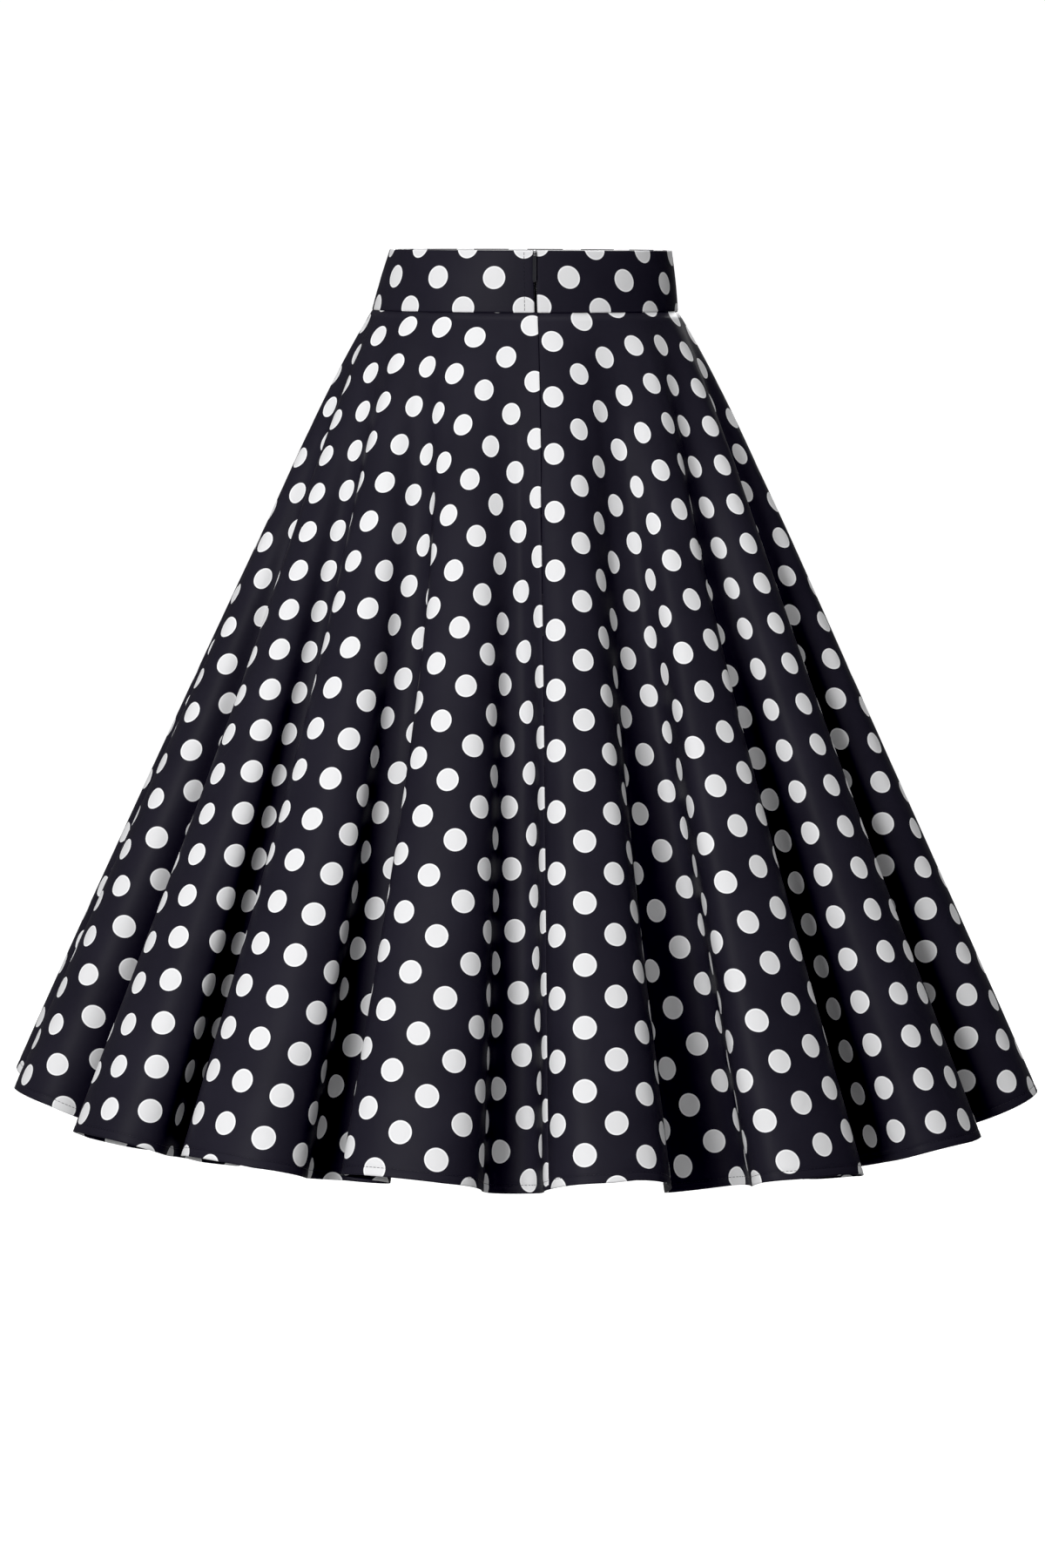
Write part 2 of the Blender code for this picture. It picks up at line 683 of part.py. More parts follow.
def pull(pivot, collection, look):
    """The tab, lying along the slope of the band; its origin is the pivot."""
    curve = bpy.data.curves.new("zip_pull_outline", "CURVE")
    curve.dimensions = "2D"
    curve.fill_mode = "BOTH"
    curve.extrude = PULL[1] / 2
    for outline in pull_outline():
        spline = curve.splines.new("POLY")
        spline.points.add(len(outline) - 1)
        for point, (x, y) in zip(spline.points, outline):
            point.co = (x, y, 0.0, 1.0)
        spline.use_cyclic_u = True
    drawn = bpy.data.objects.new("zip_pull_outline", curve)
    collection.objects.link(drawn)
    depsgraph = bpy.context.evaluated_depsgraph_get()
    flat = bpy.data.meshes.new_from_object(drawn.evaluated_get(depsgraph))
    bpy.data.objects.remove(drawn, do_unlink=True)
    bm = bmesh.new()
    bm.from_mesh(flat)
    bmesh.ops.remove_doubles(bm, verts=bm.verts[:], dist=WELD)
    bmesh.ops.rotate(bm, verts=bm.verts[:], matrix=Matrix.Rotation(radians(90), 3, "X"))
    made = finish(bm, "zip_pull", collection, look)
    top_drop = BAND_HEIGHT / 2 - PIVOT_Z
    top_end = on_centre_back(top_drop)
    low_end = on_centre_back(top_drop + PULL[2])
    slope = atan2(top_end.y - low_end.y, PULL[2])
    made.location = pivot
    made.rotation_euler = (-slope, 0.0, 0.0)
    return made


# -------------------------------------------------------------------- build
clear_scene()
skirt = new_collection("circle_skirt")
cutters = new_collection("cutters")
cotton = material("printed_cotton", (0.020, 0.019, 0.032), 0.75)
webbing = material("zip_tape", (0.015, 0.015, 0.020), 0.85)
metal = material("zip_metal", (0.42, 0.42, 0.43), 0.35, 1.0)

build_cloth(skirt, cotton)
tape("zip_tape_left", -1.0, skirt, webbing)
tape("zip_tape_right", 1.0, skirt, webbing)
pull(slider(skirt, cutters, metal), skirt, metal)
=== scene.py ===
# %% [markdown]
# # A full circle skirt in printed cotton
#
# The skirt is a flat ring of cloth that hangs from a shaped waistband.  The packed
# model already holds its pieces at their real size, as plain solids.  This lesson
# dresses them: each piece of cloth is made again as a thin, finely divided sheet on
# the same form, with its print, weave, hem and stitching.  The first cell loads the
# imported model and bakes each piece's place into its mesh.

# %% Load the imported model
from collections import namedtuple
from math import atan2, cos, degrees, pi, radians, sin

import bmesh
import bpy
import numpy as np
from mathutils import Matrix, Vector


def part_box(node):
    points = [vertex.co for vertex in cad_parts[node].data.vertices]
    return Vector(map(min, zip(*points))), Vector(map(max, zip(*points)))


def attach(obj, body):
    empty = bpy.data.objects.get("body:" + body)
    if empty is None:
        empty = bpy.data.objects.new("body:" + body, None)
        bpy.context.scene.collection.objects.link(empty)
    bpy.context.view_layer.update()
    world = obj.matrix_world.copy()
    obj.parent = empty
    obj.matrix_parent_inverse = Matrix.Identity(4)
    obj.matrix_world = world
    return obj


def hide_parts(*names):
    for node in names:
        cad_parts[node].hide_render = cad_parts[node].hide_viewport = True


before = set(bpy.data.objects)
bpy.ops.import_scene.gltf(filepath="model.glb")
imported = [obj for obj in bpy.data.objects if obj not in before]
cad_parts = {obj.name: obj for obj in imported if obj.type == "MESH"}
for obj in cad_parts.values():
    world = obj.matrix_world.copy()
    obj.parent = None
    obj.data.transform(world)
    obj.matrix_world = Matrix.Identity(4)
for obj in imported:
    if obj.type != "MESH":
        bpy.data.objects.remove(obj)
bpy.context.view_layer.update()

# %% [markdown]
# ## Camera
#
# The camera stands straight behind the wearer, a little above the waistband, and
# looks slightly down.  A long lens keeps the flutes from fanning out too much.  The
# lens is worked out from its focal length in pixels, so that it fits the frame.

# %% Camera
FRAME_HEIGHT_PX = 1800
FOCAL_PX = 4519.0
SENSOR_MM = 36.0
CAMERA_PLACE = (-0.0004, -3.3, 0.049)
CAMERA_TILT = radians(8.15)
CAMERA_ROLL = radians(0.25)

lens = bpy.data.cameras.new("camera")
lens.sensor_fit = "VERTICAL"
lens.sensor_height = SENSOR_MM
lens.lens = FOCAL_PX / FRAME_HEIGHT_PX * SENSOR_MM
lens.clip_end = 50.0
camera = bpy.data.objects.new("camera", lens)
camera.location = CAMERA_PLACE
aimed = Matrix.Rotation(pi / 2 - CAMERA_TILT, 3, "X") @ Matrix.Rotation(CAMERA_ROLL, 3, "Z")
camera.rotation_euler = aimed.to_euler()
bpy.context.scene.collection.objects.link(camera)
bpy.context.scene.camera = camera
print("lens", round(lens.lens, 1), "mm")

# %% [markdown]
# ## Studio
#
# A floor that curves up into a round wall gives a pale ground with no corner, from
# whichever side the camera looks.  One could light such a room until it is white,
# but then its bounce would fill every fold of the cloth.  So the room's paint is a
# middle grey for light that bounces, and only the camera's own rays see it glow.
# The light on the cloth comes from one big soft lamp in front and to the left, which
# leaves the sides of the flutes that face right in shade, and from weaker ones.

# %% Round room
FLOOR_Z = -1.32
ROOM_RADIUS = 7.0
ROOM_BEND = 2.5
ROOM_HEIGHT = 5.0
ROOM_GREY = 0.32
ROOM_GLOW = 0.90
BEND_STEPS = 16
ROOM_STEPS = 96

room = bmesh.new()
profile = [room.verts.new((0.0, 0.0, FLOOR_Z))]
for step in range(BEND_STEPS + 1):
    turn = pi / 2 * step / BEND_STEPS
    reach = ROOM_RADIUS - ROOM_BEND + ROOM_BEND * sin(turn)
    profile.append(room.verts.new((reach, 0.0, FLOOR_Z + ROOM_BEND * (1 - cos(turn)))))
profile.append(room.verts.new((ROOM_RADIUS, 0.0, FLOOR_Z + ROOM_HEIGHT)))
for pair in zip(profile, profile[1:]):
    room.edges.new(pair)
bmesh.ops.spin(room, geom=room.verts[:] + room.edges[:], cent=(0, 0, 0), axis=(0, 0, 1),
               angle=2 * pi, steps=ROOM_STEPS, use_merge=True)
bmesh.ops.remove_doubles(room, verts=room.verts[:], dist=0.0001)
bmesh.ops.recalc_face_normals(room, faces=room.faces[:])
room_mesh = bpy.data.meshes.new("studio_room")
room.to_mesh(room_mesh)
room.free()
room_mesh.shade_smooth()
studio_room = bpy.data.objects.new("studio_room", room_mesh)
bpy.context.scene.collection.objects.link(studio_room)

room_paint = bpy.data.materials.new("pale_room_paint")
room_paint.use_nodes = True
paint = room_paint.node_tree.nodes["Principled BSDF"]
paint.inputs["Base Color"].default_value = (ROOM_GREY, ROOM_GREY, ROOM_GREY, 1.0)
paint.inputs["Roughness"].default_value = 1.0
paint.inputs["Specular IOR Level"].default_value = 0.0
paint.inputs["Emission Color"].default_value = (1.0, 1.0, 1.0, 1.0)
rays = room_paint.node_tree.nodes.new("ShaderNodeLightPath")
glow = room_paint.node_tree.nodes.new("ShaderNodeMath")
glow.operation = "MULTIPLY"
glow.inputs[1].default_value = ROOM_GLOW
room_paint.node_tree.links.new(rays.outputs["Is Camera Ray"], glow.inputs[0])
room_paint.node_tree.links.new(glow.outputs[0], paint.inputs["Emission Strength"])
room_mesh.materials.append(room_paint)
print("floor", FLOOR_Z, "m, room", 2 * ROOM_RADIUS, "m across")

# %% Lamps and sky
Lamp = namedtuple("Lamp", "name place aim size watts")
LAMPS = [Lamp(*row) for row in (
    ("key", (-1.9, -3.7, 1.1), (0.0, 0.0, -0.35), 1.4, 137.0),
    ("front_fill", (0.8, -4.2, 0.6), (0.0, 0.0, -0.4), 2.4, 14.0),
    ("back_key", (0.9, 3.8, 1.5), (0.0, 0.0, -0.35), 1.6, 130.0),
    ("room_light", (0.0, 0.0, 4.5), (0.0, 0.0, -1.0), 3.0, 130.0),
)]
SKY = 0.22
BLACK_LEVEL = 0.0062

for lamp in LAMPS:
    light = bpy.data.lights.new(lamp.name, "AREA")
    light.shape = "DISK"
    light.size = lamp.size
    light.energy = lamp.watts
    lamp_thing = bpy.data.objects.new(lamp.name, light)
    lamp_thing.location = lamp.place
    aim = Vector(lamp.aim) - Vector(lamp.place)
    lamp_thing.rotation_euler = aim.to_track_quat("-Z", "Y").to_euler()
    lamp_thing.visible_camera = False
    bpy.context.scene.collection.objects.link(lamp_thing)
world = bpy.data.worlds.new("pale_sky")
world.use_nodes = True
world.node_tree.nodes["Background"].inputs["Color"].default_value = (SKY, SKY, SKY, 1.0)
bpy.context.scene.world = world
view = bpy.context.scene.view_settings
view.view_transform = "Standard"
view.use_curve_mapping = True
view.curve_mapping.black_level = (BLACK_LEVEL, BLACK_LEVEL, BLACK_LEVEL)
view.curve_mapping.update()
print("lamps", [lamp.name for lamp in LAMPS])

# %% [markdown]
# ## The sizes of the skirt
#
# These are the same driving sizes as the solids have: a waistband 50 mm high, cloth
# 708 mm long from the waist seam to the hem, and seventeen flutes.  Each row of the
# table is one flute, a ridge and the valley after it, with the bearing, the half
# width and the radius of each at the hem.  Keeping the numbers together in a table
# makes it easy to see where the cloth bunches and where it lies wide.

# %% Sizes
BAND_HEIGHT = 0.050
BAND_TOP = (0.1158, 0.0920)
BAND_SEAM = (0.1262, 0.0990)
BAND_LEAN = 0.0046
BAND_WALL = 0.0024
BAND_SWELL = 0.0006
CLOTH_LENGTH = 0.708
WAIST_RADIUS = 0.1129
CLOTH_WALL = 0.0015
HIP_SWELL = 0.0135
HIP_REACH = 0.16
FLUTE_GROWTH = 0.97
MEAN_HEM_RADIUS = 0.375
STEEPEST = 0.3
CENTRE_BACK_TURN = radians(4.5)
BAND_TOP_TURN = radians(1.6)
CENTRE_BACK_HEM = (0.0165, -0.364)
SEAM_GAP = 0.0003
BAND_SLIT = 0.0024
ZIP_LENGTH = 0.205
ZIP_SHARE = (ZIP_LENGTH - BAND_HEIGHT) / CLOTH_LENGTH
SEAM_Z = -BAND_HEIGHT / 2
QUARTER = pi / 2

# %% Table of flutes
Flute = namedtuple("Flute", "ridge ridge_half ridge_radius valley valley_half valley_radius")
FLUTES = [Flute(*row) for row in (
    (-167.0, 0.056, 0.420, -155.5, 0.041, 0.302),
    (-145.5, 0.048, 0.412, -135.0, 0.035, 0.332),
    (-124.0, 0.054, 0.436, -114.0, 0.037, 0.330),
    (-106.0, 0.046, 0.436, -97.5, 0.035, 0.347),
    (-89.5, 0.047, 0.438, -81.0, 0.035, 0.341),
    (-73.0, 0.048, 0.443, -62.5, 0.038, 0.340),
    (-52.0, 0.051, 0.442, -43.5, 0.033, 0.337),
    (-34.2, 0.056, 0.429, -23.0, 0.034, 0.312),
    (-13.7, 0.0555, 0.401, -1.1, 0.0235, 0.304),
    (10.9, 0.0495, 0.401, 27.5, 0.039, 0.288),
    (36.0, 0.053, 0.417, 47.8, 0.036, 0.316),
    (57.0, 0.049, 0.434, 67.0, 0.036, 0.338),
    (76.5, 0.049, 0.447, 86.0, 0.035, 0.342),
    (95.5, 0.049, 0.440, 104.0, 0.034, 0.348),
    (114.3, 0.046, 0.432, 124.3, 0.041, 0.326),
    (134.5, 0.056, 0.425, 145.5, 0.036, 0.334),
    (157.5, 0.049, 0.411, 175.0, 0.044, 0.302),
)]
RIDGE_SHOULDER = 0.40
RIDGE_CROWN = 0.58
RIDGE_DIP = 0.10
VALLEY_SHOULDER = 0.28
VALLEY_CROWN = 0.55
VALLEY_DIP = 0.05
POINTS_PER_FLUTE = 8
CURVE_STEPS = 24
ROUNDING_STEPS = 7.0
print(len(FLUTES), "flutes")

# %% [markdown]
# ## Two ways in which the cloth leaves its straight cut
#
# Near the waist a flute doesn't run down one straight line of the pattern: the cloth
# slips a little to the side before it falls.  And cloth stretches where it hangs on
# the bias, halfway between two grain lines, so the hem hangs lower there.  Both are
# small tables by the pattern's angle, because a table can be as uneven as the cloth.

# %% Shift near the waist
Shift = namedtuple("Shift", "angle turn")
# a pattern angle at the waist, and how far off it is the flute that shows there
SHIFTS = [Shift(*row) for row in (
    (-180.0, 0.0),
    (-120.0, 8.0),
    (-76.0, 18.0),
    (-56.0, 19.0),
    (-44.0, 19.0),
    (-33.0, 18.0),
    (-14.0, 9.0),
    (10.0, -4.8),
    (30.0, -12.5),
    (49.5, -17.5),
    (72.0, -18.0),
    (120.0, -8.0),
    (180.0, 0.0),
)]
SHIFT_FADE = 3.5
SHIFT_BLUR = radians(5.0)
FOLD_BLUR = radians(4.5)
FOLD_FADE = 2.0
print("widest shift", max(shift.turn for shift in SHIFTS), "degrees")

# %% How much lower the hem hangs than it was cut
HANG_GROWTH = 1.5
MILLIMETRE = 0.001
Hang = namedtuple("Hang", "angle extra")
HANGS = [Hang(*row) for row in (
    (-180.0, 4.0),
    (-135.0, 9.0),
    (-100.0, 4.0),
    (-82.0, 3.0),
    (-78.5, 1.5),
    (-75.0, 0.0),
    (-66.0, 7.5),
    (-62.0, 12.0),
    (-51.0, 6.5),
    (-45.0, 2.0),
    (-42.0, 6.5),
    (-34.0, 9.0),
    (-28.5, 2.8),
    (-26.0, 0.0),
    (-20.5, 0.0),
    (-14.5, 2.5),
    (-12.0, 4.0),
    (-7.0, 1.5),
    (-4.0, 1.5),
    (0.0, 3.0),
    (4.0, 4.0),
    (5.5, 2.5),
    (10.0, 5.0),
    (18.0, 5.5),
    (24.5, 11.0),
    (26.5, 14.5),
    (32.5, 19.0),
    (36.5, 10.5),
    (44.5, 11.0),
    (48.0, 14.0),
    (51.5, 17.0),
    (67.0, 8.0),
    (71.0, 7.5),
    (80.0, 10.0),
    (100.0, 5.0),
    (135.0, 9.0),
    (180.0, 4.0),
)]
print("lowest hang", max(hang.extra for hang in HANGS), "mm")

# %% [markdown]
# ## The hem seen from above
#
# The hem is drawn in plan first.  Each flute gives eight points, four over the ridge
# and four round the valley, and a smooth closed curve runs through them all.  The
# cloth neither stretches nor shrinks, so a point's place along that curve tells which
# line of the flat pattern ends there.

# %% Hem curve
def on_circle(bearing, radius, side):
    """A plan point at a bearing from the centre back, moved sideways."""
    turn = radians(bearing)
    out = np.array([sin(turn), -cos(turn)])
    along = np.array([cos(turn), sin(turn)])
    return radius * out + side * along


def fold_shape(shoulder, crown, dip):
    """Sideways place and depth of four points round a fold's end, as shares."""
    return (-1.0, shoulder), (-crown, dip), (crown, dip), (1.0, shoulder)


def hem_control_points():
    """Four points over each ridge and four round each valley."""
    points = []
    for flute in FLUTES:
        deep = flute.ridge_radius - flute.valley_radius
        for side, drop in fold_shape(RIDGE_SHOULDER, RIDGE_CROWN, RIDGE_DIP):
            radius = flute.ridge_radius - drop * deep
            points.append(on_circle(flute.ridge, radius, side * flute.ridge_half))
        for side, rise in fold_shape(VALLEY_SHOULDER, VALLEY_CROWN, VALLEY_DIP):
            radius = flute.valley_radius + rise * deep
            points.append(on_circle(flute.valley, radius, side * flute.valley_half))
    return points


def closed_curve(points):
    """A smooth closed curve through the points (Catmull-Rom)."""
    count = len(points)
    curve = []
    for i in range(count):
        a, b, c, d = (points[(i + k) % count] for k in (-1, 0, 1, 2))
        for step in range(CURVE_STEPS):
            u = step / CURVE_STEPS
            curve.append(0.5 * (2 * b + (c - a) * u + (2 * a - 5 * b + 4 * c - d) * u * u
                                + (3 * b - a - 3 * c + d) * u ** 3))
    return np.array(curve)


def soften(curve, spread):
    """The closed curve with its bends rounded off over so many of its steps."""
    reach = int(4 * spread)
    steps = np.arange(-reach, reach + 1)
    weights = np.exp(-0.5 * (steps / spread) ** 2)
    weights /= weights.sum()
    ringed = np.concatenate([curve[-reach:], curve, curve[:reach]])
    return np.stack([np.convolve(column, weights, "valid") for column in ringed.T], -1)


def hem_curve():
    """Pattern angles and plan points of the hem, from the centre back seam's end."""
    curve = soften(closed_curve(hem_control_points()), ROUNDING_STEPS)
    start = int(np.argmin(np.hypot(*(curve - CENTRE_BACK_HEM).T)))
    rolled = np.concatenate([curve[start:], curve[:start + 1]])
    length = np.concatenate([[0.0], np.cumsum(np.hypot(*np.diff(rolled, axis=0).T))])
    angles = (length / length[-1] * 2 * pi)[:-1]
    points = rolled[:-1]
    angles = np.where(angles > pi, angles - 2 * pi, angles)
    order = np.argsort(angles)
    angles = angles[order]
    points = points[order]
    angles = np.concatenate([[angles[-1] - 2 * pi], angles, [angles[0] + 2 * pi]])
    points = np.concatenate([points[-1:], points, points[:1]])
    return angles, points, length[-1]


HEM_ANGLES, HEM_POINTS, HEM_LENGTH = hem_curve()
print("hem", round(HEM_LENGTH, 3), "m, cut", round(2 * pi * (WAIST_RADIUS + CLOTH_LENGTH), 3), "m")

# %% [markdown]
# ## How the cloth hangs
#
# A straight line of the pattern runs from its place on the waist to its place on the
# hem.  In plan it moves outwards, and what is left of its length it falls.  Marching
# down in small steps gives the height at every share of the length.  The outward
# normals are measured a small step to each side, so that neighbouring panels agree.

# %% Drape
def waist_curve(angles, half_width, half_depth, seam_turn):
    """Plan points of an oval at equal shares of its length, from the zip's place."""
    turn = np.linspace(-pi, pi, 1441)
    step = np.hypot(half_width * np.cos(turn), half_depth * np.sin(turn))
    length = np.concatenate([[0.0], np.cumsum((step[1:] + step[:-1]) / 2 * np.diff(turn))])
    around = length[-1]
    length -= around / 2
    want = (angles + seam_turn) / (2 * pi) * around
    want = (want + around / 2) % around - around / 2
    found = np.interp(want, length, turn)
    return np.stack([half_width * np.sin(found), -half_depth * np.cos(found)], -1)


def hem_at(angles):
    wrapped = (angles + pi) % (2 * pi) - pi
    return np.stack([np.interp(wrapped, HEM_ANGLES, HEM_POINTS[:, k]) for k in (0, 1)], -1)


def out_and_along(bearings):
    """Unit vectors in plan at some bearings: outwards, and round to the right."""
    out = np.stack([np.sin(bearings), -np.cos(bearings)], -1)
    along = np.stack([np.cos(bearings), np.sin(bearings)], -1)
    return out, along


def blurred(values, spread):
    """A table by pattern angle, rounded off over an angle."""
    ring = soften(values[:-1], spread / (2 * pi) * TABLE_STEPS)
    return np.concatenate([ring, ring[:1]])


def flute_tables():
    """The mean hem's bearing, and how far the flutes go out and along from it."""
    hem = hem_at(TABLE_ANGLES)
    bearing = np.unwrap(np.arctan2(hem[:, 0], -hem[:, 1]))
    turned = bearing - TABLE_ANGLES
    turned -= 2 * pi * np.round(turned.mean() / (2 * pi))
    mean = blurred(turned[:, None], BEARING_BLUR)[:, 0] + TABLE_ANGLES
    out, along = out_and_along(mean)
    away = hem - MEAN_HEM_RADIUS * out
    return mean, np.stack([(away * out).sum(-1), (away * along).sum(-1)], -1)


def shift_table():
    rows, turns = zip(*SHIFTS)
    turns = np.interp(TABLE_ANGLES, np.radians(rows), np.radians(turns))
    return blurred(turns[:, None], SHIFT_BLUR)[:, 0]


TABLE_STEPS = 4800
BEARING_BLUR = radians(11.0)
TABLE_ANGLES = np.linspace(-pi, pi, TABLE_STEPS + 1)
MEAN_BEARINGS, HEM_FLUTES = flute_tables()
WAIST_FLUTES = blurred(HEM_FLUTES, FOLD_BLUR)
SHIFT_TURNS = shift_table()


def plan_at(angles, share):
    """Plan points of the cloth at one share of its length."""
    wrapped = (angles + pi) % (2 * pi) - pi
    shift = np.interp(wrapped, TABLE_ANGLES, SHIFT_TURNS) * (1 - share) ** SHIFT_FADE
    shown = (wrapped + shift + pi) % (2 * pi) - pi
    softness = (1 - share) ** FOLD_FADE
    table = HEM_FLUTES + (WAIST_FLUTES - HEM_FLUTES) * softness
    outwards, sideways = (np.interp(shown, TABLE_ANGLES, column) for column in table.T)
    out, along = out_and_along(np.interp(wrapped, TABLE_ANGLES, MEAN_BEARINGS))
    flutes = outwards[:, None] * out + sideways[:, None] * along
    waist = waist_curve(angles, *BAND_SEAM, CENTRE_BACK_TURN)
    swell = HIP_SWELL * (1 - share) * (1 - np.exp(-share / HIP_REACH))
    return (waist * (1 - share) + (MEAN_HEM_RADIUS * share + swell) * out
            + flutes * share ** FLUTE_GROWTH)


def hang_at(angles):
    """How much lower the hem hangs than its cut length gives, in metres."""
    rows, extras = zip(*HANGS)
    return np.interp(angles, np.radians(rows), extras) * MILLIMETRE


def fall_table():
    """Height of the cloth's middle surface: a row for each share, by pattern angle."""
    step = CLOTH_LENGTH / FALL_STEPS
    plan = plan_at(TABLE_ANGLES, 0.0)
    heights = [np.full(len(TABLE_ANGLES), SEAM_Z - SEAM_GAP)]
    for share in np.linspace(0.0, 1.0, FALL_STEPS + 1)[1:]:
        below = plan_at(TABLE_ANGLES, share)
        run = np.hypot(*(below - plan).T)
        fall = np.sqrt(np.maximum(step ** 2 - run ** 2, (STEEPEST * step) ** 2))
        heights.append(heights[-1] - fall)
        plan = below
    growth = np.linspace(0.0, 1.0, FALL_STEPS + 1)[:, None] ** HANG_GROWTH
    return np.array(heights) - hang_at(TABLE_ANGLES) * growth


FALL_STEPS = 60
NORMAL_STEP = 0.004
HEIGHTS = fall_table()


def cloth_ring(angles, share):
    """Points of the cloth's middle surface at one share of its length."""
    low = min(int(share * FALL_STEPS), FALL_STEPS - 1)
    part = share * FALL_STEPS - low
    heights = HEIGHTS[low] * (1 - part) + HEIGHTS[low + 1] * part
    wrapped = (angles + pi) % (2 * pi) - pi
    fall = np.interp(wrapped, TABLE_ANGLES, heights)
    return np.concatenate([plan_at(angles, share), fall[:, None]], -1)


def cloth_ring_normals(angles, share):
    """Outward unit normals, the same whichever panel asks for them."""
    ahead = cloth_ring(angles + NORMAL_STEP, share) - cloth_ring(angles - NORMAL_STEP, share)
    below = min(share + NORMAL_STEP, 1.0)
    above = max(share - NORMAL_STEP, 0.0)
    normals = np.cross(cloth_ring(angles, below) - cloth_ring(angles, above), ahead)
    return normals / np.linalg.norm(normals, axis=-1, keepdims=True)


def on_cloth(angles, share, lift):
    """Points of one ring, lifted off the cloth's middle surface."""
    lift = np.broadcast_to(lift, angles.shape)[:, None]
    return cloth_ring(angles, share) + cloth_ring_normals(angles, share) * lift


print("lowest hem point", HEIGHTS[-1].min().round(4), "m")

# %% Waistband
def band_ring(angles, drop):
    """Middle surface of the waistband, this far below its top edge."""
    share = drop / BAND_HEIGHT
    swell = BAND_SWELL * sin(pi * share)
    half_width = BAND_TOP[0] + (BAND_SEAM[0] - BAND_TOP[0]) * share + swell
    half_depth = BAND_TOP[1] + (BAND_SEAM[1] - BAND_TOP[1]) * share + swell
    seam_turn = BAND_TOP_TURN + (CENTRE_BACK_TURN - BAND_TOP_TURN) * share
    plan = waist_curve(angles, half_width, half_depth, seam_turn)
    plan[:, 0] += BAND_LEAN * (1 - share)
    height = np.full((len(angles), 1), BAND_HEIGHT / 2 - drop)
    return np.concatenate([plan, height], -1)


def on_band(angles, drop, lift):
    """Points of the band, moved out along its level normals."""
    ahead = band_ring(angles + NORMAL_STEP, drop) - band_ring(angles - NORMAL_STEP, drop)
    normals = np.stack([ahead[:, 1], -ahead[:, 0], np.zeros(len(angles))], -1)
    normals /= np.linalg.norm(normals, axis=-1, keepdims=True)
    lift = np.broadcast_to(lift, angles.shape)[:, None]
    return band_ring(angles, drop) + normals * lift


print("band's top at the zip", band_ring(np.array([0.0]), 0.0)[0].round(4))

# %% [markdown]
# ## Small creases
#
# Between the big flutes the cloth has softer, shorter creases of its own.  They are
# listed one by one: each row says where a crease lies on the pattern, where it starts and
# ends, how far it stands out (or in, when negative) and how wide it is.  A smooth bump
# across and a slow fade along give it a soft back, as cotton has.

# %% Table of creases
Crease = namedtuple("Crease", "angle drift start end height half")
#   degrees from the centre back, how far it drifts, shares of the length, mm, mm
CREASES = [Crease(*row) for row in (
    (-84.0, 3.0, 0.02, 0.30, 0.7, 8.0),
    (-71.0, 6.0, 0.01, 0.26, -0.6, 8.0),
    (-62.0, 5.0, 0.03, 0.24, 0.7, 8.0),
    (-52.5, 5.5, -0.04, 0.24, 0.6, 7.0),
    (-49.0, 1.0, 0.30, 0.85, -1.1, 14.0),
    (-45.0, 9.0, 0.01, 0.21, -0.5, 7.0),
    (-38.0, 17.5, -0.04, 0.33, 0.7, 8.0),
    (-29.0, 9.0, 0.03, 0.27, -0.5, 7.0),
    (-27.0, 2.0, 0.45, 0.98, 1.1, 15.0),
    (-19.0, 6.0, -0.02, 0.24, 0.5, 7.0),
    (-13.0, 1.5, 0.35, 0.80, 0.9, 13.0),
    (-6.0, 1.0, 0.02, 0.44, -0.5, 5.0),
    (6.5, -4.0, 0.01, 0.43, 0.5, 6.0),
    (14.0, -1.0, 0.30, 0.90, -1.0, 14.0),
    (18.0, -5.0, -0.02, 0.26, 0.5, 8.0),
    (27.0, -8.0, 0.03, 0.30, -0.6, 8.0),
    (33.0, 2.0, 0.40, 0.95, 1.1, 15.0),
    (40.0, 9.0, 0.02, 0.31, 0.7, 7.0),
    (47.0, -15.0, -0.01, 0.22, 0.5, 6.0),
    (57.0, 7.0, 0.03, 0.26, 0.7, 7.0),
    (58.0, 2.0, 0.35, 0.88, 1.0, 14.0),
    (67.0, 5.0, -0.02, 0.31, -0.6, 8.0),
    (81.0, -3.0, 0.04, 0.32, -0.7, 9.0),
    (97.0, 3.0, 0.01, 0.33, 0.7, 9.0),
    (111.0, -3.0, 0.30, 0.86, -1.1, 14.0),
    (119.0, 6.0, -0.03, 0.25, -0.5, 7.0),
    (129.0, -8.0, 0.02, 0.38, 0.7, 8.0),
    (141.0, 3.0, 0.05, 0.28, -0.6, 8.0),
    (151.0, -2.0, 0.40, 0.94, 1.0, 15.0),
    (158.0, 5.0, -0.02, 0.22, 0.5, 7.0),
    (167.0, 3.0, 0.02, 0.34, 0.6, 9.0),
    (181.0, -1.0, 0.25, 0.80, -1.0, 14.0),
    (188.0, -6.0, -0.01, 0.27, -0.5, 7.0),
    (198.0, 4.0, 0.04, 0.33, 0.7, 8.0),
    (209.0, -3.0, 0.35, 0.92, 1.1, 14.0),
    (220.0, 7.0, -0.02, 0.25, -0.6, 8.0),
    (231.0, -5.0, 0.03, 0.30, 0.5, 7.0),
    (243.0, 2.0, 0.02, 0.40, 0.7, 9.0),
    (254.0, -2.0, 0.30, 0.85, -1.1, 14.0),
    (263.0, 4.0, 0.03, 0.29, 0.6, 8.0),
)]


